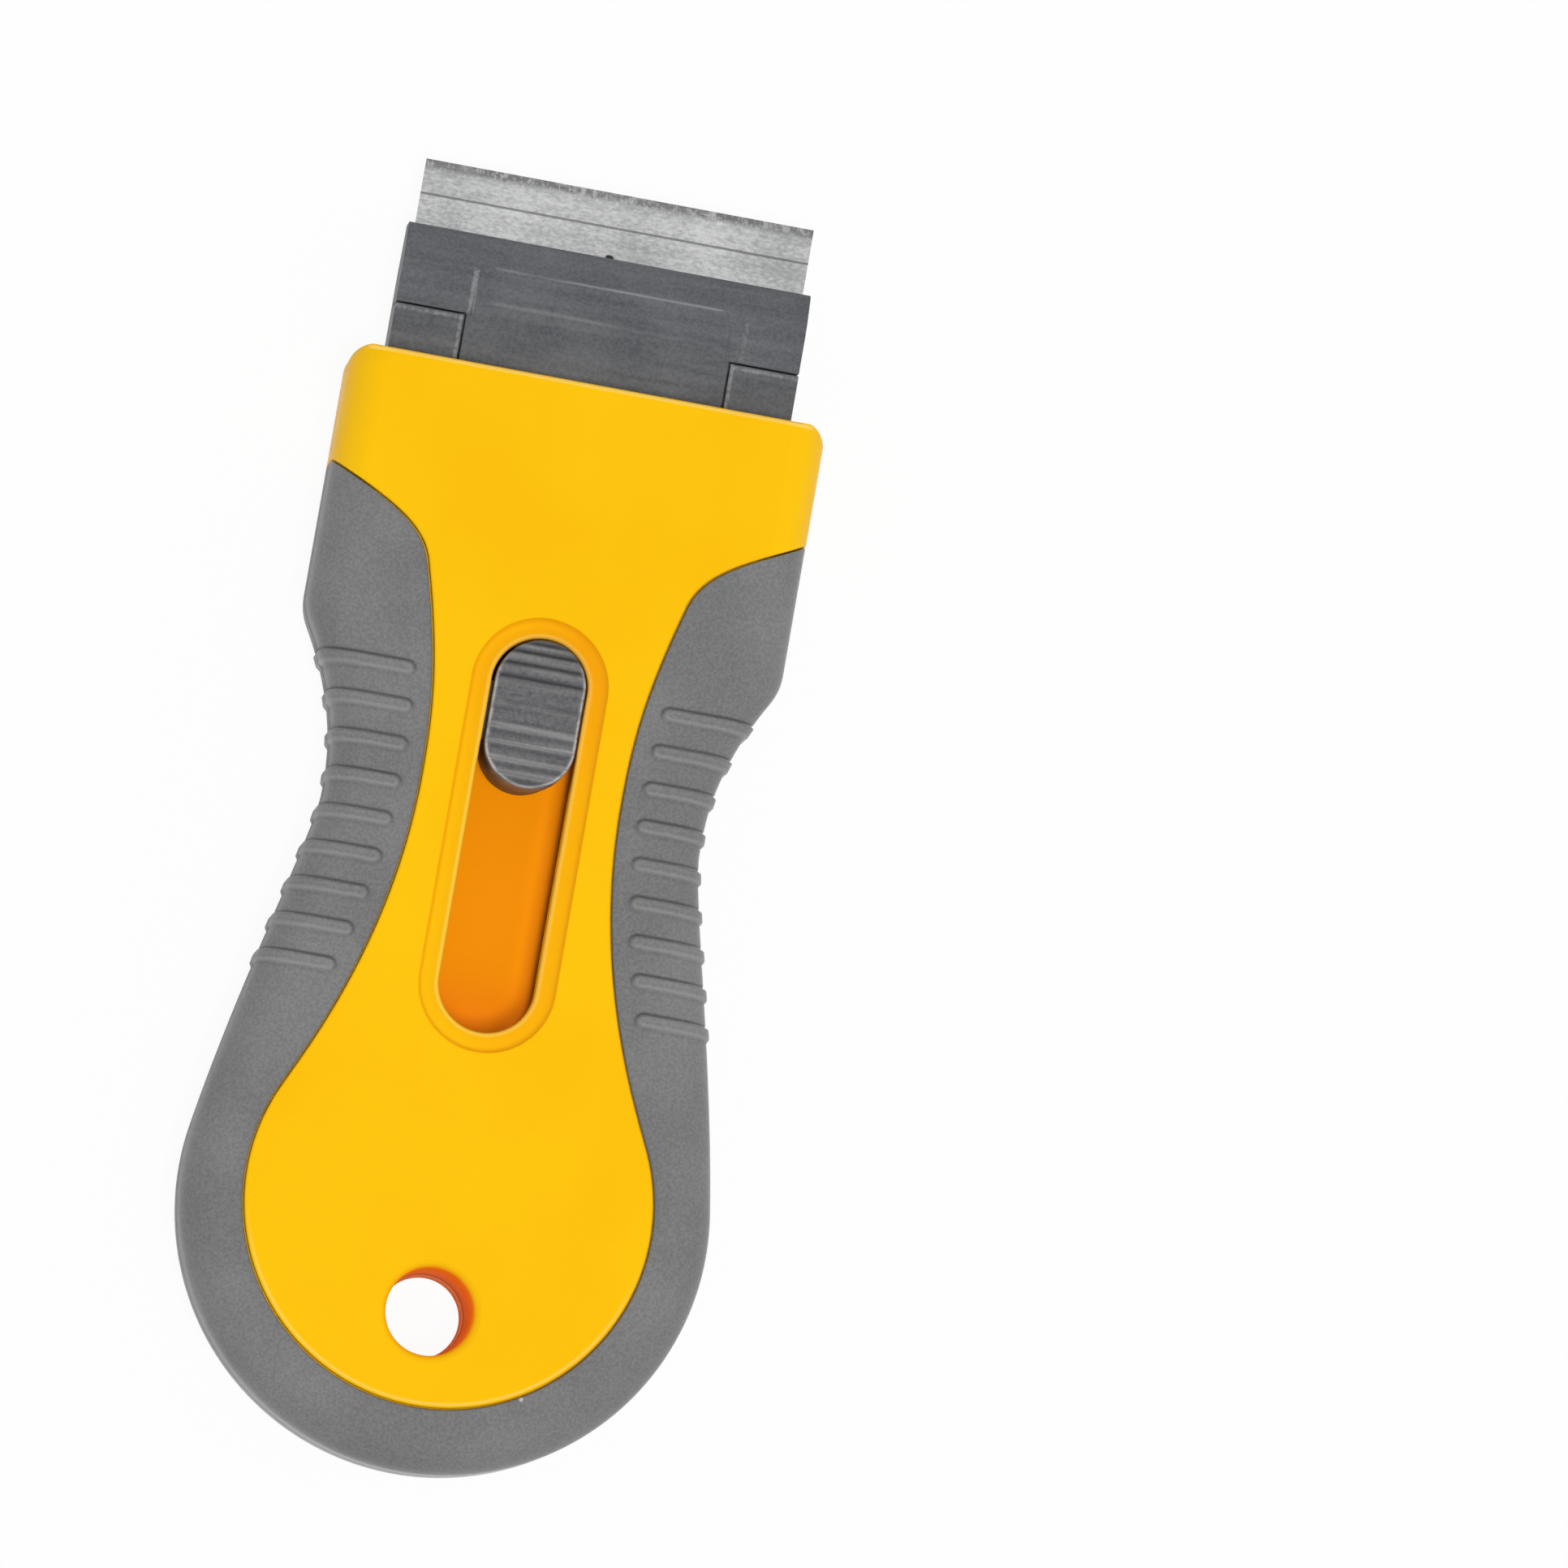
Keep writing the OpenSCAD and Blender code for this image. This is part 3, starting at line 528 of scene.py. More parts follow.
# soft grip: each row is a closed section across the band between panel and outline, carried along the
# outline from one tip round the butt to the other; ribs stand out along the section's normal
def makeGrip(name):
    h = handle
    g = grip
    top = h["top"] - g["ribHeight"]
    low = bodyHalf(0)
    high = bodyHalf(h["edgeIn"], h["mouthEdge"])
    way = np.concatenate([[0], np.cumsum(np.hypot(*np.diff(low, axis=0).T))])

    def along(s, points):
        return np.column_stack([np.interp(s, way, points[:, 0]), np.interp(s, way, points[:, 1])])

    fine = np.linspace(0, way[-1], 8000)
    spot = along(fine, low)
    inHead = (spot[:, 1] > h["shoulderAt"]) & insidePanel(spot[:, 0], spot[:, 1], g["seam"])
    tip = fine[np.argmax(inHead)]
    ribEnd = g["ribAt"] + (g["ribCount"] - 1) * g["ribPitch"] + g["ribWidth"]
    ribFrom, ribTo = np.interp([g["ribAt"] - g["ribWidth"], ribEnd], spot[:, 1], fine)
    s = np.concatenate([
        np.arange(0, ribFrom, g["plainStep"]),
        np.arange(ribFrom, ribTo, g["ribStep"]),
        np.arange(ribTo, tip - g["tipLength"], g["plainStep"] / 2),
        np.linspace(tip - g["tipLength"], tip - g["tipGap"], g["tipRows"])])
    base = along(s, low)
    inward = (along(s, high) - base) / h["edgeIn"]
    near = np.zeros(len(s))
    wide = np.full(len(s), h["bulbWidth"] / 2)
    # halve the interval forty times to find where the band meets the seam
    for _ in range(40):
        half = (near + wide) / 2
        at = base + inward * half[:, None]
        hit = insidePanel(at[:, 0], at[:, 1], g["seam"])
        wide = np.where(hit, half, wide)
        near = np.where(hit, near, half)
    band = wide[:, None]

    # outer side: wall, then the top from the outline to the seam, closer spaced at the outline
    wallZ = np.linspace(h["middle"] + h["partingEdge"], top - h["edgeHeight"], g["wallRows"])[:-1]
    share = 1 - np.cos(np.linspace(0, math.pi / 2, g["columns"]))
    soft = np.minimum(g["seamEdge"], band / 3)
    inset = np.hstack([np.zeros((len(s), len(wallZ))), (band - soft) * share])
    z = np.hstack([np.tile(wallZ, (len(s), 1)), edgeFall((band - soft) * share, top)])
    c = np.clip(1 - inset / h["edgeIn"], 0, 1)
    c[:, :len(wallZ)] = 1
    normal = np.dstack([-c / h["edgeIn"], np.sqrt(1 - c * c) / h["edgeHeight"]])
    normal /= np.linalg.norm(normal, axis=2, keepdims=True)
    plan = base[:, None] + inward[:, None] * inset[:, :, None]
    rise, crease, crest = ribForm(plan[:, :, 0], plan[:, :, 1])
    inset = inset + rise * normal[:, :, 0]
    z = z + rise * normal[:, :, 1]

    # rounded seam edge, seam wall, inner side over the shell's core, and the parting plane
    a = np.radians([30, 60, 90])
    seamIn = band - soft + soft * np.sin(a)
    seamZ = edgeFall(band - soft, top) - soft * (1 - np.cos(a))
    innerShare = np.linspace(1, 0, g["innerColumns"])
    inner = np.where(band > g["thick"], g["thick"] + (band - g["thick"]) * innerShare, band)
    innerZ = edgeFall(np.maximum(inner - g["thick"], 0), h["top"] - g["thick"])
    innerZ = np.minimum(innerZ, seamZ[:, -1:] - 0.02)
    foot = np.hstack([inner[:, -1:], np.minimum(h["partingEdge"], band / 2)])
    inset = np.hstack([inset, seamIn, inner, foot])
    z = np.hstack([z, seamZ, innerZ, np.full((len(s), 2), h["middle"])])

    plan = base[:, None] + inward[:, None] * inset[:, :, None]
    right = np.dstack([plan, z])
    piece = ringSolid(name, np.concatenate([right[:0:-1] * [-1, 1, 1], right]), clockwise=True)
    # painted shade in the ribs' creases and painted highlight on their crests, read by the material
    for key, values in (("crease", crease), ("crest", crest)):
        half = np.zeros(right.shape[:2])
        half[:, :values.shape[1]] = values
        paint(piece, key, np.concatenate([half[:0:-1], half]))
    smoothFaces(piece, 58)
    return piece


button = {
    "length": 14.7,
    "width": 9.0,
    "play": 0.08,                          # it sits this far to the right in its slot
    "middleAt": (buttonLow[1] + buttonHigh[1]) / 2 - handle["buttAt"],
    "top": buttonHigh[2],
    "dip": 1.1,
    "rim": 0.42,
    "frontSteps": [0.62, 1.56, 2.76, 4.12],    # places of the steps, from the front end
    "backSteps": [1.32, 2.68, 4.36, 5.88],
    "faintLine": 7.84,
    "faintShare": 0.22,
    "lineWidth": 0.27,
    "frontCrease": (-0.1, 1.0),            # painted shade and highlight lines beside a step: offset in mm and strength
    "frontCrest": (0.36, 0.2),
    "backCrease": (-0.68, 0.6),
    "backCrest": (-0.12, 0.5),
    "rimCrest": (0.16, 0.13),              # painted highlight on the rim: distance in and width
    "riser": 0.3,
    "groove": 0.07,
    "treadIn": 0.25,                       # a tread has the saddle's height this far in from its end
    "treadSwell": 0.05,
    "columns": 41,
    "rows": 260,
    "flangeTop": handle["top"] - handle["roof"] - 0.2,
    "flange": 1.4,
    "flangeWidth": 12.8,
    "stemWidth": 5.6,
    "stemLength": 11.1,                    # what presses on the leaf
    "foot": buttonLow[2],
}


# saddle of the button along its length: a circular hollow whose ends climb in steps with steep risers
def buttonHeight(y):
    b = button
    half = b["length"] / 2
    radius = (half * half + b["dip"] * b["dip"]) / (2 * b["dip"])

    def saddle(v):
        return b["top"] - b["dip"] + radius - np.sqrt(radius * radius - v * v)

    z = saddle(y)
    for end, steps in ((1, b["frontSteps"]), (-1, b["backSteps"])):
        edges = [half - v for v in steps][::-1] + [half]
        for inner, outer in zip(edges[:-1], edges[1:]):
            v = end * y
            t = np.clip((v - inner) / b["riser"], 0, 1)
            swell = b["treadSwell"] * np.sin((v - inner) / (outer - inner) * math.pi)
            tread = saddle(outer - b["treadIn"]) + swell
            start = saddle(inner - b["treadIn"])
            stair = start - b["groove"] * (1 - t) + (tread - start) * t * t * (3 - 2 * t)
            z = np.where((v >= inner) & (v <= outer), stair, z)
    return z


# thumb button: sections across a bar with round ends, wall to rim to saddle, carried along its length
def makeButton():
    b = button
    half = b["width"] / 2
    straight = b["length"] / 2 - half
    a = np.linspace(-math.pi / 2, math.pi / 2, b["rows"])
    y = np.concatenate([np.sin(a) * (b["length"] / 2 - 0.004), np.linspace(-straight, straight, 150)])
    y = np.sort(y)
    over = np.maximum(np.abs(y) - straight, 0)
    wide = np.sqrt(np.maximum(half * half - over * over, 1e-6))[:, None]
    share = np.sin(np.linspace(-math.pi / 2, math.pi / 2, b["columns"]))
    x = wide * share
    away = np.where(over[:, None] > 0, half - np.hypot(x, over[:, None]), half - np.abs(x))
    t = np.clip((b["rim"] - away) / b["rim"], 0, 1)
    z = buttonHeight(y)[:, None] - b["rim"] * (1 - np.sqrt(1 - t * t))
    wall = b["flangeTop"] - b["flange"]
    along = y[:, None]
    front = np.clip((b["length"] / 2 - along) / 2.5 - 0.6, 0, 1)
    # painted highlights on the rim away from the front end, beside the steps and faintly across the middle;
    # painted shade in the steps' corners; the material reads both
    crest = np.exp(-((away - b["rimCrest"][0]) / b["rimCrest"][1]) ** 2) * front
    crease = np.zeros_like(x)
    fromFront = b["length"] / 2 - along
    fromBack = b["length"] / 2 + along

    def stripe(distance, offset, strength):
        return strength * np.exp(-((distance - offset) / b["lineWidth"]) ** 2)

    for v in b["frontSteps"]:
        crease += stripe(fromFront - v, *b["frontCrease"])
        crest = np.maximum(crest, stripe(fromFront - v, *b["frontCrest"]))
    crest = np.maximum(crest, stripe(fromBack, b["faintLine"], b["faintShare"]))
    for v in b["backSteps"]:
        crest = np.maximum(crest, stripe(fromBack - v, *b["backCrest"]))
        crease += stripe(fromBack - v, *b["backCrease"])
    crease = np.minimum(crease, 1)
    x = np.hstack([-wide, x, wide])
    z = np.hstack([np.full_like(wide, wall), z, np.full_like(wide, wall)])
    rows = np.dstack([x + b["play"], np.broadcast_to(y[:, None] + b["middleAt"], x.shape), z])
    piece = ringSolid("thumbButton", rows, clockwise=True)
    for key, values in (("crease", crease), ("crest", crest)):
        paint(piece, key, np.pad(values, ((0, 0), (1, 1))))
    flangeHalf = b["flangeWidth"] / 2
    flangeLow = b["flangeTop"] - b["flange"]
    carve(piece, block(-flangeHalf, flangeHalf, b["middleAt"] - straight, b["middleAt"] + straight,
                       flangeLow, b["flangeTop"]), "UNION")
    stem = straight + b["stemWidth"] / 2
    outline = stadium(b["stemWidth"] / 2, b["middleAt"] - stem, b["middleAt"] + stem)
    carve(piece, prism(outline, b["foot"], flangeLow + 0.3), "UNION")
    smoothFaces(piece, 38)
    return piece


spring = {
    "thick": 0.4,
    "width": 5.0,
    "backAt": springLow[1] - handle["buttAt"],
    "frontAt": springHigh[1] - handle["buttAt"],
    "low": springLow[2],
    "toothTop": springHigh[2],
    "toothOut": springHigh[0],
    "toothLength": 1.8,
    "stakeIn": 3.0,                        # rivet hole, from the front end
    "stakeRadius": 1.05,
    "heldLength": 6.0,                     # what the rivet's seat holds still
    "stations": 81,
}


# leaf spring: a flat section carried along Y in short steps, with a cross bar
# and two upright teeth
def makeSpring():
    s = spring
    half = s["width"] / 2
    high = s["low"] + s["thick"]
    corners = np.array([[-half, s["low"]], [-half, high], [half, high], [half, s["low"]]])
    y = np.linspace(s["backAt"], s["frontAt"], s["stations"])
    rows = np.stack([np.insert(corners, 1, v, axis=1) for v in y])
    leaf = ringSolid("lockSpring", rows)
    y0 = button["middleAt"] - s["toothLength"] / 2
    y1 = button["middleAt"] + s["toothLength"] / 2
    out = s["toothOut"]
    carve(leaf, block(-out, out, y0, y1, s["low"], high), "UNION")
    for side in (-1, 1):
        x0, x1 = sorted((side * out, side * (out - s["thick"])))
        carve(leaf, block(x0, x1, y0, y1, s["low"], s["toothTop"]), "UNION")
    bore = [(s["stakeRadius"], s["low"] - 1), (s["stakeRadius"], high + 1)]
    carve(leaf, turned(0, s["frontAt"] - s["stakeIn"], bore, 40), "DIFFERENCE")
    return leaf


# one shader value; the operators add Math nodes
class Wire:
    def __init__(self, finish, socket):
        self.finish = finish
        self.socket = socket

    def math(self, operation, first, second):
        return self.finish.add("ShaderNodeMath", {"operation": operation}, {0: first, 1: second})

    def __add__(self, other):
        return self.math("ADD", self, other)

    def __radd__(self, other):
        return self.math("ADD", other, self)

    def __sub__(self, other):
        return self.math("SUBTRACT", self, other)

    def __rsub__(self, other):
        return self.math("SUBTRACT", other, self)

    def __mul__(self, other):
        return self.math("MULTIPLY", self, other)

    def __rmul__(self, other):
        return self.math("MULTIPLY", other, self)

    def __truediv__(self, other):
        return self.math("DIVIDE", self, other)

    def __rtruediv__(self, other):
        return self.math("DIVIDE", other, self)

    def __pow__(self, other):
        return self.math("POWER", self, other)

    def __rpow__(self, other):
        return self.math("POWER", other, self)


# the nodes of a material or of the world under construction
class Finish:
    def __init__(self, owner, shader="Principled BSDF"):
        owner.use_nodes = True
        self.owner = owner
        self.tree = owner.node_tree
        self.shader = self.tree.nodes[shader]

    # a node of a type, its settings first, then the values or links of its sockets
    def add(self, kind, settings, inputs, output=0):
        node = self.tree.nodes.new(kind)
        for key, value in settings.items():
            setattr(node, key, value)
        for key, value in inputs.items():
            self.feed(node.inputs[key], value)
        return Wire(self, node.outputs[output])

    def feed(self, socket, value):
        if isinstance(value, Wire):
            self.tree.links.new(value.socket, socket)
        elif isinstance(value, tuple) and len(socket.default_value) == 4:
            socket.default_value = (*value, 1)
        else:
            socket.default_value = value

    def set(self, **values):
        for key, value in values.items():
            self.feed(self.shader.inputs[key.replace("_", " ")], value)

    def place(self):
        return self.add("ShaderNodeTexCoord", {}, {}, "Object")

    def noise(self, scale, detail=2.0, stretch=(1, 1, 1), rough=0.5):
        spot = self.add("ShaderNodeMapping", {}, {"Vector": self.place(), "Scale": stretch})
        return self.add("ShaderNodeTexNoise", {}, {"Vector": spot, "Scale": scale, "Detail": detail,
                                                   "Roughness": rough}, "Fac")

    def ramp(self, value, low, high):
        settings = {"interpolation_type": "SMOOTHSTEP"}
        return self.add("ShaderNodeMapRange", settings, {"Value": value, "From Min": low, "From Max": high})

    def mix(self, factor, first, second):
        return self.add("ShaderNodeMix", {"data_type": "RGBA"}, {0: factor, 6: first, 7: second}, 2)

    def axis(self, letter):
        return self.add("ShaderNodeSeparateXYZ", {}, {0: self.place()}, letter)

    def painted(self, key):
        return self.add("ShaderNodeAttribute", {"attribute_name": key}, {}, "Fac")

    def clamp(self, value, low, high):
        return self.add("ShaderNodeClamp", {}, {"Value": value, "Min": low, "Max": high})

    def size(self, value):
        return self.add("ShaderNodeMath", {"operation": "ABSOLUTE"}, {0: value})

    # 0 below the first length, 1 above the second, in mm
    def past(self, value, span):
        return self.ramp(value, span[0] * mm, span[1] * mm)

    # 1 at a place, 0 away from it: the line's core and its full half width, in mm
    def line(self, value, at, span):
        return 1 - self.past(self.size(value - at * mm), span)

    def bump(self, height, strength, distance):
        inputs = {"Height": height, "Strength": strength, "Distance": distance}
        self.set(Normal=self.add("ShaderNodeBump", {}, inputs))

    # 1 on rays that show a backdrop: straight from the camera, mirrored or through glass
    def shownRays(self):
        kinds = ("Is Camera Ray", "Is Glossy Ray", "Is Transmission Ray")
        first, second, third = (self.add("ShaderNodeLightPath", {}, {}, kind) for kind in kinds)
        return self.clamp(first + second + third, 0, 1)


# painted light among these colours: rim, crease, shade and parting are painted shade, lip and edge painted
# highlights, inside, ember, wall and lower the orange of bounced light, glow and sideGlow painted light
yellow = {"light": (0.97, 0.555, 0.003), "deep": (0.95, 0.51, 0.002), "crease": (0.84, 0.3, 0.002),
          "rim": (0.86, 0.315, 0.002), "inside": (1.0, 0.345, 0.002), "shade": (0.25, 0.09, 0.006),
          "wall": (1.0, 0.37, 0.013), "lower": (0.78, 0.3, 0.17), "parting": (0.2, 0.05, 0.02),
          "glow": (0.12, 0.028, 0.0), "sideGlow": (0.3, 0.07, 0.002), "ember": (1.0, 0.2, 0.006),
          "edge": (1.0, 0.55, 0.33), "lip": (1.0, 0.74, 0.22), "rough": 0.42, "specular": 0.1}
# crease is painted shade at the ribs' feet, crest a painted highlight on their crests
softGrey = {"light": (0.222, 0.223, 0.226), "deep": (0.148, 0.149, 0.151), "dust": (0.5, 0.5, 0.49),
            "crease": (0.06, 0.062, 0.066), "crest": (0.34, 0.34, 0.345)}
# line is the colour of the painted highlight lines
slate = {"light": (0.136, 0.142, 0.152), "deep": (0.064, 0.068, 0.076), "line": (0.3, 0.31, 0.32)}
# crease is painted shade in the steps' corners, crest a painted highlight
buttonGrey = {"light": (0.15, 0.15, 0.154), "deep": (0.07, 0.071, 0.075), "crease": (0.035, 0.035, 0.038),
              "crest": (0.55, 0.54, 0.54)}
steel = {"light": (0.63, 0.632, 0.635), "deep": (0.34, 0.343, 0.347), "dark": (0.12, 0.12, 0.125),
         "slotEndShade": (0.012, 0.012, 0.012)}


# where the yellow changes, in mm: spans of height, of distance from the slot's middle line or the hole's axis
marks = {
    "slotReach": (7.6, 8.4),
    "slotFoot": (1.5, 3.2),
    "slotMouth": (12.8, 14.9),
    "slotLit": (4.5, 5.3),
    "slotShade": (5.1, 5.5),
    "slotRear": (-4, 4.6),          # painted redder bounced light at the rear end
    "holeReach": (4.7, 5.2),
    "holeFoot": (0.05, 1.2),
    "holeMouth": (14.8, 15.95),
    "holeTone": (2, 13),
    "holeEnd": (0.7, 1.9),
    "holeDarkBandAt": 4.3,               # painted dark and pale bands of shade and light round the hole's wall
    "holeDarkBandLine": (0.25, 0.8),
    "paleAt": 2.9,
    "paleLine": (0.25, 0.7),
    "faceUp": (14.6, 15.0),         # only on the thumb side
    "lipUp": (14.6, 15.1),
    "mouthUp": (14.5, 15.2),
    "mouthAt": 0.3,
    "mouthLine": (0.08, 0.26),
    "softLine": (0.06, 0.3),
    "rimLine": (-0.4, 0.1),         # from the rim's outer line
    "creaseIn": 0.12,
    "borderIn": 0.34,
    "borderLine": (0.05, 0.2),
    "borderEnd": (15, 24),          # from the butt
    # painted shade on the slot's dish rim, growing towards the right and the front
    "rimShadeRight": (-4, 5),
    "rimShadeFront": (-12, 2),
    # painted light lifting the shade beside the slot's right wall and at its rear end
    "beside": (2.0, 4.8),
    "behind": (0.5, 4.6),
}


# satin yellow mouldings: slow tone drift, faint flow streaks, fine grain; painted light in the thumb slot and
# the hang hole, orange colour and emission for light through and between their walls, with painted shade
# there; painted shade on the slot's dish rim and a painted dark line of shade round the dish; painted
# highlights along the lips and the panel's border
def yellowPlastic():
    f = Finish(bpy.data.materials.new("yellowPlastic"))
    m = marks
    x, y, z = f.axis("X"), f.axis("Y"), f.axis("Z")
    half = slot["width"] / 2
    rim = half + slot["rimWidth"]
    butt = handle["buttAt"]
    start = (butt + slot["frontAt"] - slot["length"] + half) * mm
    stop = (butt + slot["frontAt"] - half) * mm
    toSlot = (x ** 2 + (y - f.clamp(y, start, stop)) ** 2) ** 0.5
    toHole = (x ** 2 + (y - (butt + hole["at"]) * mm) ** 2) ** 0.5
    toLobe = (x ** 2 + (y - (butt + panel["lobeAt"]) * mm) ** 2) ** 0.5
    fromMouth = (butt + handle["length"]) * mm - y

    # the plain skin
    drift = f.noise(55, 3)
    streak = f.noise(120, 2, (1, 0.12, 1))
    grain = f.noise(2600, 2)
    tone = f.ramp(drift * 0.7 + streak * 0.3, 0.3, 0.72)
    skin = f.mix(tone, yellow["light"], yellow["deep"])

    # the dished rim with painted shade, deeper towards the right and the front; painted shade along its
    # crease;
    # painted highlights on the pale edges
    shadedRim = (1 - f.past(toSlot - rim * mm, m["rimLine"])) * f.past(z, m["faceUp"])
    share = 0.12 + f.past(x, m["rimShadeRight"]) * 0.28 + f.past(y - stop, m["rimShadeFront"]) * 0.3
    skin = f.mix(shadedRim * share, skin, yellow["rim"])
    # painted shade: a dark line along the dish's crease
    crease = f.line(toSlot, rim - m["creaseIn"], m["softLine"]) * f.past(z, m["faceUp"])
    skin = f.mix(crease * 0.42, skin, yellow["crease"])
    # painted highlight along the mouth's rounded lip
    lip = f.line(fromMouth, m["mouthAt"], m["mouthLine"]) * f.past(z, m["mouthUp"])
    skin = f.mix(lip * 0.5, skin, yellow["lip"])
    # painted highlight along the slot's rounded lip
    rounded = f.line(toSlot, half + 0.6 * slot["lip"], m["softLine"]) * f.past(z, m["lipUp"])
    skin = f.mix(rounded * 0.25, skin, yellow["lip"])
    # painted highlight along the panel's rounded edge above the butt
    border = f.line(toLobe, panel["lobeRadius"] - m["borderIn"], m["borderLine"])
    border = border * (1 - f.past(y - butt * mm, m["borderEnd"]))
    skin = f.mix(border * 0.35, skin, yellow["lip"])

    # inside the slot and the hole: the orange of bounced light painted on floor and walls, redder at the
    # slot's rear end, painted shade under the roof beside the slot, and painted light and shade down the
    # hole's wall
    inSlot = 1 - f.past(toSlot, m["slotReach"])
    inSlot = inSlot * f.past(z, m["slotFoot"]) * (1 - f.past(z, m["slotMouth"]))
    inHole = (1 - f.past(toHole, m["holeReach"])) * f.past(z, m["holeFoot"])
    inHole = inHole * (1 - f.past(z, m["holeMouth"]))
    deep = f.mix(f.past(start - y, m["slotRear"]) * 0.6, yellow["inside"], yellow["ember"])
    deep = f.mix(f.past(toSlot, m["slotShade"]), deep, yellow["shade"])
    # the hole's wall: orange of bounced light, darker lower down, a painted dark band, a painted pale band
    # and painted shade at its lower end
    bore = f.mix(f.past(z, m["holeTone"]), yellow["lower"], yellow["wall"])
    bore = f.mix(f.line(z, m["holeDarkBandAt"], m["holeDarkBandLine"]) * 0.6, bore, yellow["parting"])
    bore = f.mix(f.line(z, m["paleAt"], m["paleLine"]) * 0.6, bore, yellow["edge"])
    bore = f.mix((1 - f.past(z, m["holeEnd"])) * 0.6, bore, yellow["parting"])
    skin = f.mix(inHole, f.mix(inSlot, skin, deep), bore)

    # painted light: emission in the slot and the hole for light through the thin walls, stronger beside the
    # slot's right wall and at its rear end to lift their shade
    lit = inSlot * (1 - f.past(toSlot, m["slotLit"])) + inHole * 0.8
    sideways = f.clamp(f.past(x, m["beside"]) + f.past(start - y, m["behind"]) * 0.6, 0, 1)
    through = f.mix(sideways * inSlot, yellow["glow"], yellow["sideGlow"])
    f.set(Base_Color=skin,
          Emission_Color=f.mix(lit * (0.8 + drift * 0.4), (0, 0, 0), through),
          Emission_Strength=1.0,
          Roughness=yellow["rough"] + (grain - 0.5) * 0.12 + (drift - 0.5) * 0.06 + inHole * 0.55,
          Specular_IOR_Level=yellow["specular"])
    f.bump(grain, 0.12, 0.00006)
    return f.owner


# soft-touch grips: matt grain, a worn bloom, a few specks of dust, painted shade in the ribs' creases and
# painted highlights on their crests
def softGrip():
    f = Finish(bpy.data.materials.new("softGrip"))
    grain = f.noise(3200, 3, rough=0.6)
    bloom = f.noise(90, 4)
    cell = f.add("ShaderNodeTexVoronoi", {"feature": "F1"}, {"Vector": f.place(), "Scale": 260.0}, "Distance")
    chance = f.noise(140, 1)
    dust = (1 - f.ramp(cell, 0.035, 0.075)) * f.ramp(chance, 0.62, 0.68)
    tone = f.ramp(grain, 0.34, 0.66) * 0.65 + f.ramp(bloom, 0.35, 0.65) * 0.35
    body = f.mix(tone, softGrey["deep"], softGrey["light"])
    # painted highlight on the ribs' crests, painted shade in their creases
    body = f.mix(f.painted("crest") * 0.6, body, softGrey["crest"])
    body = f.mix(f.painted("crease") * 0.85, body, softGrey["crease"])
    f.set(Base_Color=f.mix(dust, body, softGrey["dust"]),
          Roughness=0.72 + (grain - 0.5) * 0.2,
          Specular_IOR_Level=0.3, Sheen_Weight=0.3, Sheen_Roughness=0.35)
    f.bump(grain + dust * 0.6, 0.3, 0.00012)
    return f.owner


# painted highlight lines along moulded edges of the holder, in mm: across from the middle, along from the
# cover's front edge
coverHighlightLines = {
    "middleAt": 0.5,
    "middleReach": (10.5, 12),
    "firstAt": 3.3,
    "firstLine": (0.03, 0.2),
    "firstShare": 1.1,
    "secondAt": 6.8,
    "secondLine": (0.05, 0.32),
    "secondShare": 0.45,
    "earAt": 8.75,
    "earOut": (13.2, 13.5),
    "earSideAt": 13.6,
    "earBack": (8.4, 8.5),
    "broad": (0.05, 0.28),
    "padMiddle": 0.75,
    "padAt": 13.6,
    "padLine": (0.1, 0.36),
    "padLeft": 2.2,                 # the left ridge gets the stronger painted highlight
    "padFade": 1.85,
    "padStart": (3.4, 4.2),
    "padEnd": (7.6, 8.4),
    "rightHalf": (-1, 1),
    "upperSide": (-1.3, -1.0),      # from the cover's top
}


# slate mouldings: spark-eroded grain, faint drag lines across the width, and on the upper side painted
# highlights:
# pale lines where slopes begin, along the ears and beside the pads
def slatePlastic():
    f = Finish(bpy.data.materials.new("slatePlastic"))
    c = coverHighlightLines
    x = f.axis("X")
    fromFront = coverHigh[1] * mm - f.axis("Y")
    grain = f.noise(3000, 3, rough=0.65)
    cloud = f.noise(160, 3)
    drag = f.noise(900, 3, (0.06, 1, 1), rough=0.7)
    tone = f.ramp(grain, 0.36, 0.64) * 0.45 + f.ramp(drag, 0.36, 0.64) * 0.3
    tone = tone + f.ramp(cloud, 0.35, 0.65) * 0.25
    slopes = f.line(fromFront, c["firstAt"], c["firstLine"]) * c["firstShare"]
    slopes = slopes + f.line(fromFront, c["secondAt"], c["secondLine"]) * c["secondShare"]
    slopes = slopes * f.line(x, c["middleAt"], c["middleReach"])
    earFront = f.line(fromFront, c["earAt"], c["broad"]) * f.past(f.size(x), c["earOut"])
    earSide = f.line(f.size(x), c["earSideAt"], c["broad"]) * f.past(fromFront, c["earBack"])
    padSide = f.line(f.size(x - c["padMiddle"] * mm), c["padAt"], c["padLine"])
    padSide = padSide * (c["padLeft"] - c["padFade"] * f.past(x, c["rightHalf"]))
    padSide = padSide * f.past(fromFront, c["padStart"]) * (1 - f.past(fromFront, c["padEnd"]))
    # painted highlights where slopes begin, along the ears and beside the pads, on the upper side only
    lines = slopes * f.ramp(drag, 0.3, 0.6)
    lines = lines + (earFront + earSide + padSide) * (0.35 + 0.65 * f.ramp(grain, 0.4, 0.6))
    lines = lines * f.past(f.axis("Z") - coverHigh[2] * mm, c["upperSide"])
    body = f.mix(tone, slate["deep"], slate["light"])
    f.set(Base_Color=f.mix(f.clamp(lines, 0, 1) * 0.6, body, slate["line"]),
          Roughness=0.5 + (grain - 0.5) * 0.25,
          Specular_IOR_Level=0.35)
    f.bump(grain * 0.7 + drag * 0.3, 0.22, 0.0001)
    return f.owner


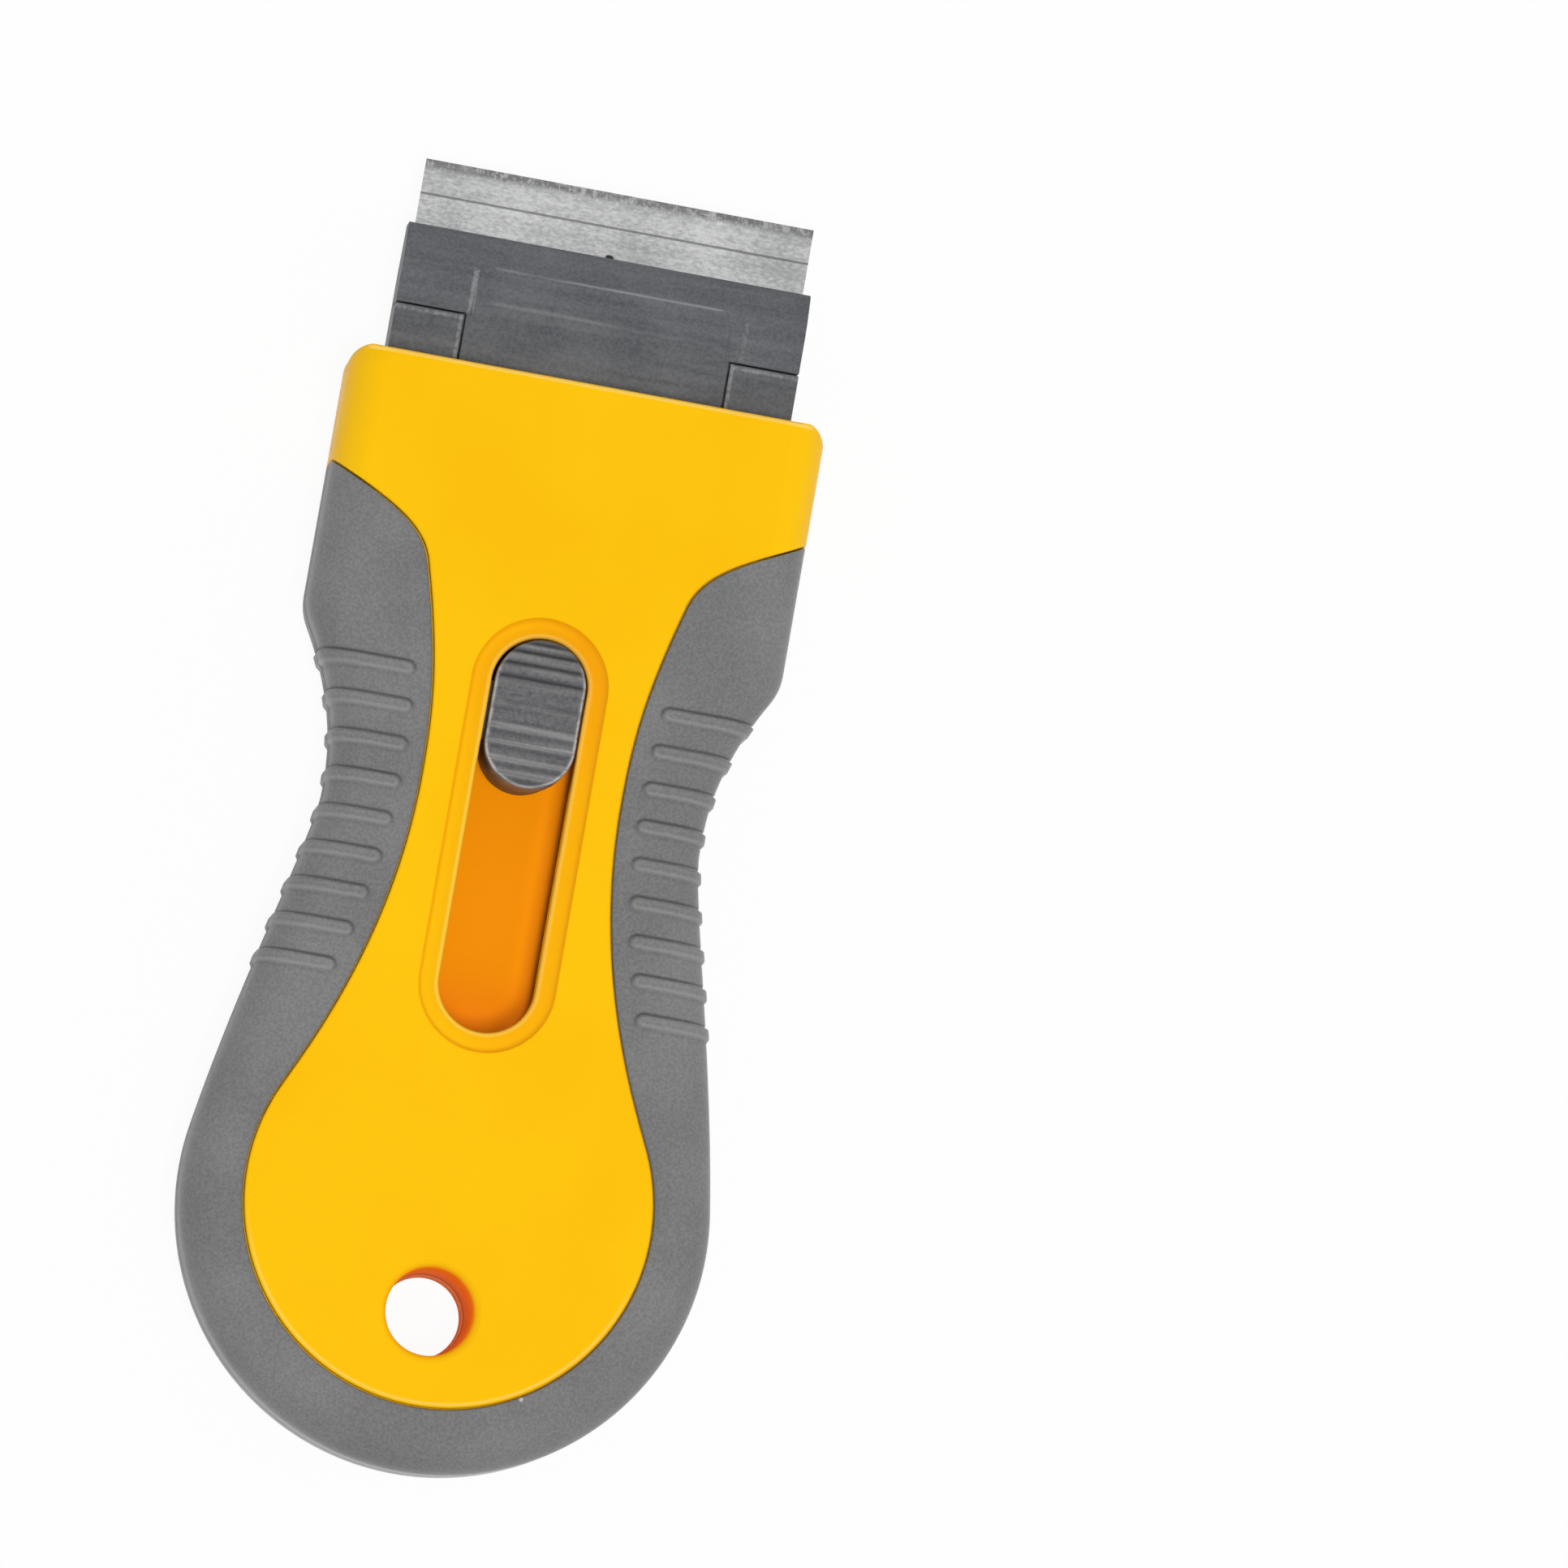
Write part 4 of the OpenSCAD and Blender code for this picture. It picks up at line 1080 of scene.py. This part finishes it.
# thumb button: the same grain, painted shade in the steps' corners and painted highlights on its rim and rear
# risers
def buttonPlastic():
    f = Finish(bpy.data.materials.new("buttonPlastic"))
    grain = f.noise(2600, 3, rough=0.65)
    drag = f.noise(1100, 3, (0.05, 1, 1), rough=0.7)
    body = f.mix(f.ramp(grain * 0.5 + drag * 0.5, 0.36, 0.64), buttonGrey["deep"], buttonGrey["light"])
    body = f.mix(f.painted("crease") * 0.75, body, buttonGrey["crease"])
    paintedHighlight = f.painted("crest") * (0.45 + 0.5 * f.ramp(drag, 0.35, 0.6))
    f.set(Base_Color=f.mix(paintedHighlight, body, buttonGrey["crest"]),
          Roughness=0.45 + (grain - 0.5) * 0.25,
          Specular_IOR_Level=0.35)
    f.bump(grain * 0.6 + drag * 0.4, 0.2, 0.00008)
    return f.owner


blade = {
    "edgeAt": bladeHigh[1] * mm,
    "bevel": 3.45 * mm,
    "burr": 1.2 * mm,
    "line": 0.16 * mm,
    "markAt": (bladeHigh[1] - coverHigh[1] - 0.28) * mm,     # painted shade where the end of the centre slot shows at the cover's edge
    "markWide": 0.5 * mm,
    "markLong": 0.3 * mm,
}


# bright blade: lines drawn along the edge, a dark grind line, a rough band at the cutting edge, and a dark
# spot of painted shade where the end of its centre slot shows
def bladeSteel():
    f = Finish(bpy.data.materials.new("bladeSteel"))
    x = f.axis("X")
    fromEdge = blade["edgeAt"] - f.axis("Y")
    drawn = f.noise(700, 3, (0.05, 1, 1), rough=0.7)
    grain = f.noise(3200, 3, (0.5, 1, 1), rough=0.7)
    teeth = f.noise(1900, 3, (1, 0.35, 1), rough=0.7)
    cloud = f.noise(140, 2)
    ragged = fromEdge + (teeth - 0.5) * (1.5 * mm)
    burr = 1 - f.ramp(ragged, blade["burr"] * 0.5, blade["burr"])
    burr = burr * f.ramp(grain * 0.5 + teeth * 0.5, 0.36, 0.56)
    line = 1 - f.ramp(f.size(fromEdge - blade["bevel"]), blade["line"] * 0.4, blade["line"])
    # painted shade: a dark spot where the end of the blade's centre slot shows
    off = ((x / blade["markWide"]) ** 2 + ((fromEdge - blade["markAt"]) / blade["markLong"]) ** 2) ** 0.5
    slotEndShade = 1 - f.ramp(off, 0.6, 1.1)
    body = f.mix(f.ramp(drawn * 0.25 + grain * 0.5 + cloud * 0.25, 0.36, 0.64), steel["deep"], steel["light"])
    dark = f.mix(burr * (0.35 + cloud * 0.7), body, steel["dark"])
    dark = f.mix(line * 0.75, dark, steel["dark"])
    f.set(Base_Color=f.mix(slotEndShade * 0.95, dark, steel["slotEndShade"]), Metallic=1.0,
          Roughness=0.36 + burr * 0.3 + (grain - 0.5) * 0.2)
    f.bump(drawn * 0.4 + grain * 0.3 + teeth * burr, 0.25, 0.00006)
    return f.owner


# rolled and plated steel for the spine, spring and screws
def dullSteel(name, tone, rough):
    f = Finish(bpy.data.materials.new(name))
    rolled = f.noise(600, 3, (0.2, 1, 1))
    spots = f.noise(1500, 2)
    light = (tone, tone * 1.01, tone * 1.03)
    deep = tuple(v * 0.75 for v in light)
    f.set(Base_Color=f.mix(f.ramp(rolled * 0.6 + spots * 0.4, 0.35, 0.65), deep, light), Metallic=1.0,
          Roughness=rough + (spots - 0.5) * 0.2)
    f.bump(rolled, 0.15, 0.00005)
    return f.owner


finishes = {
    "yellow_plastic": yellowPlastic(),
    "soft_grip": softGrip(),
    "slate_plastic": slatePlastic(),
    "blade_steel": bladeSteel(),
    "spine_steel": dullSteel("spineSteel", 0.42, 0.42),
    "plated_steel": dullSteel("platedSteel", 0.55, 0.32),
}
buttonFinish = buttonPlastic()
print("materials made:", len(finishes) + 1)


def clothe(obj, slotName, node, material=None):
    obj.data.materials.clear()
    obj.data.materials.append(material or finishes[slotName])
    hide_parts(node)


def dress(obj, body, slotName, node, material=None):
    clothe(obj, slotName, node, material)
    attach(obj, body)


frontShell = makeFrontShell()
dress(frontShell, "handle", "yellow_plastic", "front_shell")
rearShell = makeRearShell()
dress(rearShell, "handle", "yellow_plastic", "rear_shell")
print("shells:", len(frontShell.data.polygons), "and", len(rearShell.data.polygons), "faces")

frontGrip = makeGrip("frontGrip")
dress(frontGrip, "handle", "soft_grip", "front_grip")
rearGrip = makeGrip("rearGrip")
turnOver(rearGrip)
dress(rearGrip, "handle", "soft_grip", "rear_grip")
print("grips:", len(frontGrip.data.polygons), "faces each")

thumbButton = makeButton()
dress(thumbButton, "button", "slate_plastic", "thumb_button", buttonFinish)
print("button:", len(thumbButton.data.polygons), "faces")

# where the carriage's rivet seat holds the leaf, and where the button presses its free end
lockSpring = makeSpring()
clothe(lockSpring, "spine_steel", "lock_spring")
heldAt = (handle["buttAt"] + spring["frontAt"] - spring["heldLength"]) * mm
pressedAt = (handle["buttAt"] + button["middleAt"] + button["stemLength"] / 2) * mm
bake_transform(lockSpring)
print("spring:", len(lockSpring.data.polygons), "faces")

# CAD nodes that keep their shape get small broken edges and their finish
keptNodes = {
    "blade_carriage": ("slate_plastic", 0.12),
    "blade_cover": ("slate_plastic", 0.12),
    "razor_blade": ("blade_steel", 0),
    "blade_spine": ("spine_steel", 0.06),
    "shell_screws": ("plated_steel", 0.08),
}
for nodeName, (slotName, edge) in keptNodes.items():
    node = cadNodes[nodeName]
    node.data.materials.clear()
    node.data.materials.append(finishes[slotName])
    weld = node.modifiers.new("weld", "WELD")
    weld.merge_threshold = 0.000001
    if edge:
        flat = node.modifiers.new("flat", "DECIMATE")
        flat.decimate_type = "DISSOLVE"
        flat.angle_limit = math.radians(0.5)
        broken = node.modifiers.new("broken", "BEVEL")
        broken.limit_method = "ANGLE"
        broken.angle_limit = math.radians(35)
        broken.width = edge * mm
        broken.segments = 2
        broken.harden_normals = False
        normals = node.modifiers.new("normals", "WEIGHTED_NORMAL")
        normals.keep_sharp = True
print("CAD nodes dressed:", len(keptNodes))


# matrix of an object at a place that looks away from back, its upper side towards the hint
def aimed(place, back, hint):
    across = np.cross(hint, back)
    across /= np.linalg.norm(across)
    turn = np.eye(4)
    turn[:3, :3] = np.column_stack([across, np.cross(back, across), back])
    turn[:3, 3] = place
    return turn.T.tolist()


# camera almost straight over the thumb side, the handle leaning to the right in the frame
view = {
    "target": (25.95, 9.37, 8.0),       # mm, in the middle of the frame
    "distance": 1272.0,
    "leanX": -4.98,                     # degrees off straight down, towards -X and -Y
    "leanY": -5.84,
    "roll": 9.843,
    "frameWidth": 154.51,               # mm across the frame at the target
    "sensor": 36.0,
}
toCamera = np.array([math.tan(math.radians(view["leanX"])), math.tan(math.radians(view["leanY"])), 1.0])
toCamera /= np.linalg.norm(toCamera)
roll = math.radians(view["roll"])
eye = (np.array(view["target"]) + view["distance"] * toCamera) * mm
cameraData = bpy.data.cameras.new("photoCamera")
cameraData.sensor_width = view["sensor"]
cameraData.lens = view["sensor"] * view["distance"] / view["frameWidth"]
cameraData.clip_end = 20
camera = bpy.data.objects.new("photoCamera", cameraData)
camera.matrix_world = aimed(eye, toCamera, [-math.sin(roll), math.cos(roll), 0.0])
bpy.context.scene.collection.objects.link(camera)
bpy.context.scene.camera = camera

# the key stands near the camera's line; the lamps are left out of mirror rays, so steel shows the backdrop
lamps = {
    "key": {"place": (0.05, -0.19, 1.29), "size": 0.24, "energy": 9.5},
    "left": {"place": (-1.0, -0.1, 0.5), "size": 0.6, "energy": 1.1},
    "side": {"place": (1.0, 0.25, 0.5), "size": 0.6, "energy": 2.2},
}
for name, lamp in lamps.items():
    light = bpy.data.lights.new(name, "AREA")
    light.size = lamp["size"]
    light.energy = lamp["energy"]
    lampObject = bpy.data.objects.new(name, light)
    back = np.array(lamp["place"]) / np.linalg.norm(lamp["place"])
    lampObject.matrix_world = aimed(lamp["place"], back, [0, 0, 1])
    lampObject.visible_glossy = False
    bpy.context.scene.collection.objects.link(lampObject)

stage = {"floorSize": 3.0, "drop": 0.0001, "pale": (0.86, 0.86, 0.85), "glow": 0.94, "skyLight": 0.36}


# white where the backdrop is seen, a plain level of light for the rest
def skyWorld():
    world = bpy.data.worlds.new("studio")
    bpy.context.scene.world = world
    sky = Finish(world, "Background")
    level = stage["skyLight"] + sky.shownRays() * (1 - stage["skyLight"])
    sky.set(Color=(1, 1, 1), Strength=level)


# pale floor that shows as white but still takes the object's shadow
def paleFloor():
    f = Finish(bpy.data.materials.new("paleFloor"))
    f.set(Base_Color=stage["pale"], Roughness=0.9)
    plain = Wire(f, f.shader.outputs[0])
    glow = f.add("ShaderNodeEmission", {}, {"Color": (1, 1, 1), "Strength": 1.0})
    shown = f.add("ShaderNodeMixShader", {}, {0: f.shownRays() * stage["glow"], 1: plain, 2: glow})
    f.feed(f.tree.nodes["Material Output"].inputs["Surface"], shown)
    half = stage["floorSize"] / 2
    low = -stage["drop"]
    corners = [(-half, -half, low), (half, -half, low), (half, half, low), (-half, half, low)]
    mesh = bpy.data.meshes.new("floor")
    mesh.from_pydata(corners, [], [(0, 1, 2, 3)])
    mesh.materials.append(f.owner)
    floor = bpy.data.objects.new("floor", mesh)
    bpy.context.scene.collection.objects.link(floor)


skyWorld()
paleFloor()
bpy.context.scene.view_settings.view_transform = "Standard"
print("stage set")
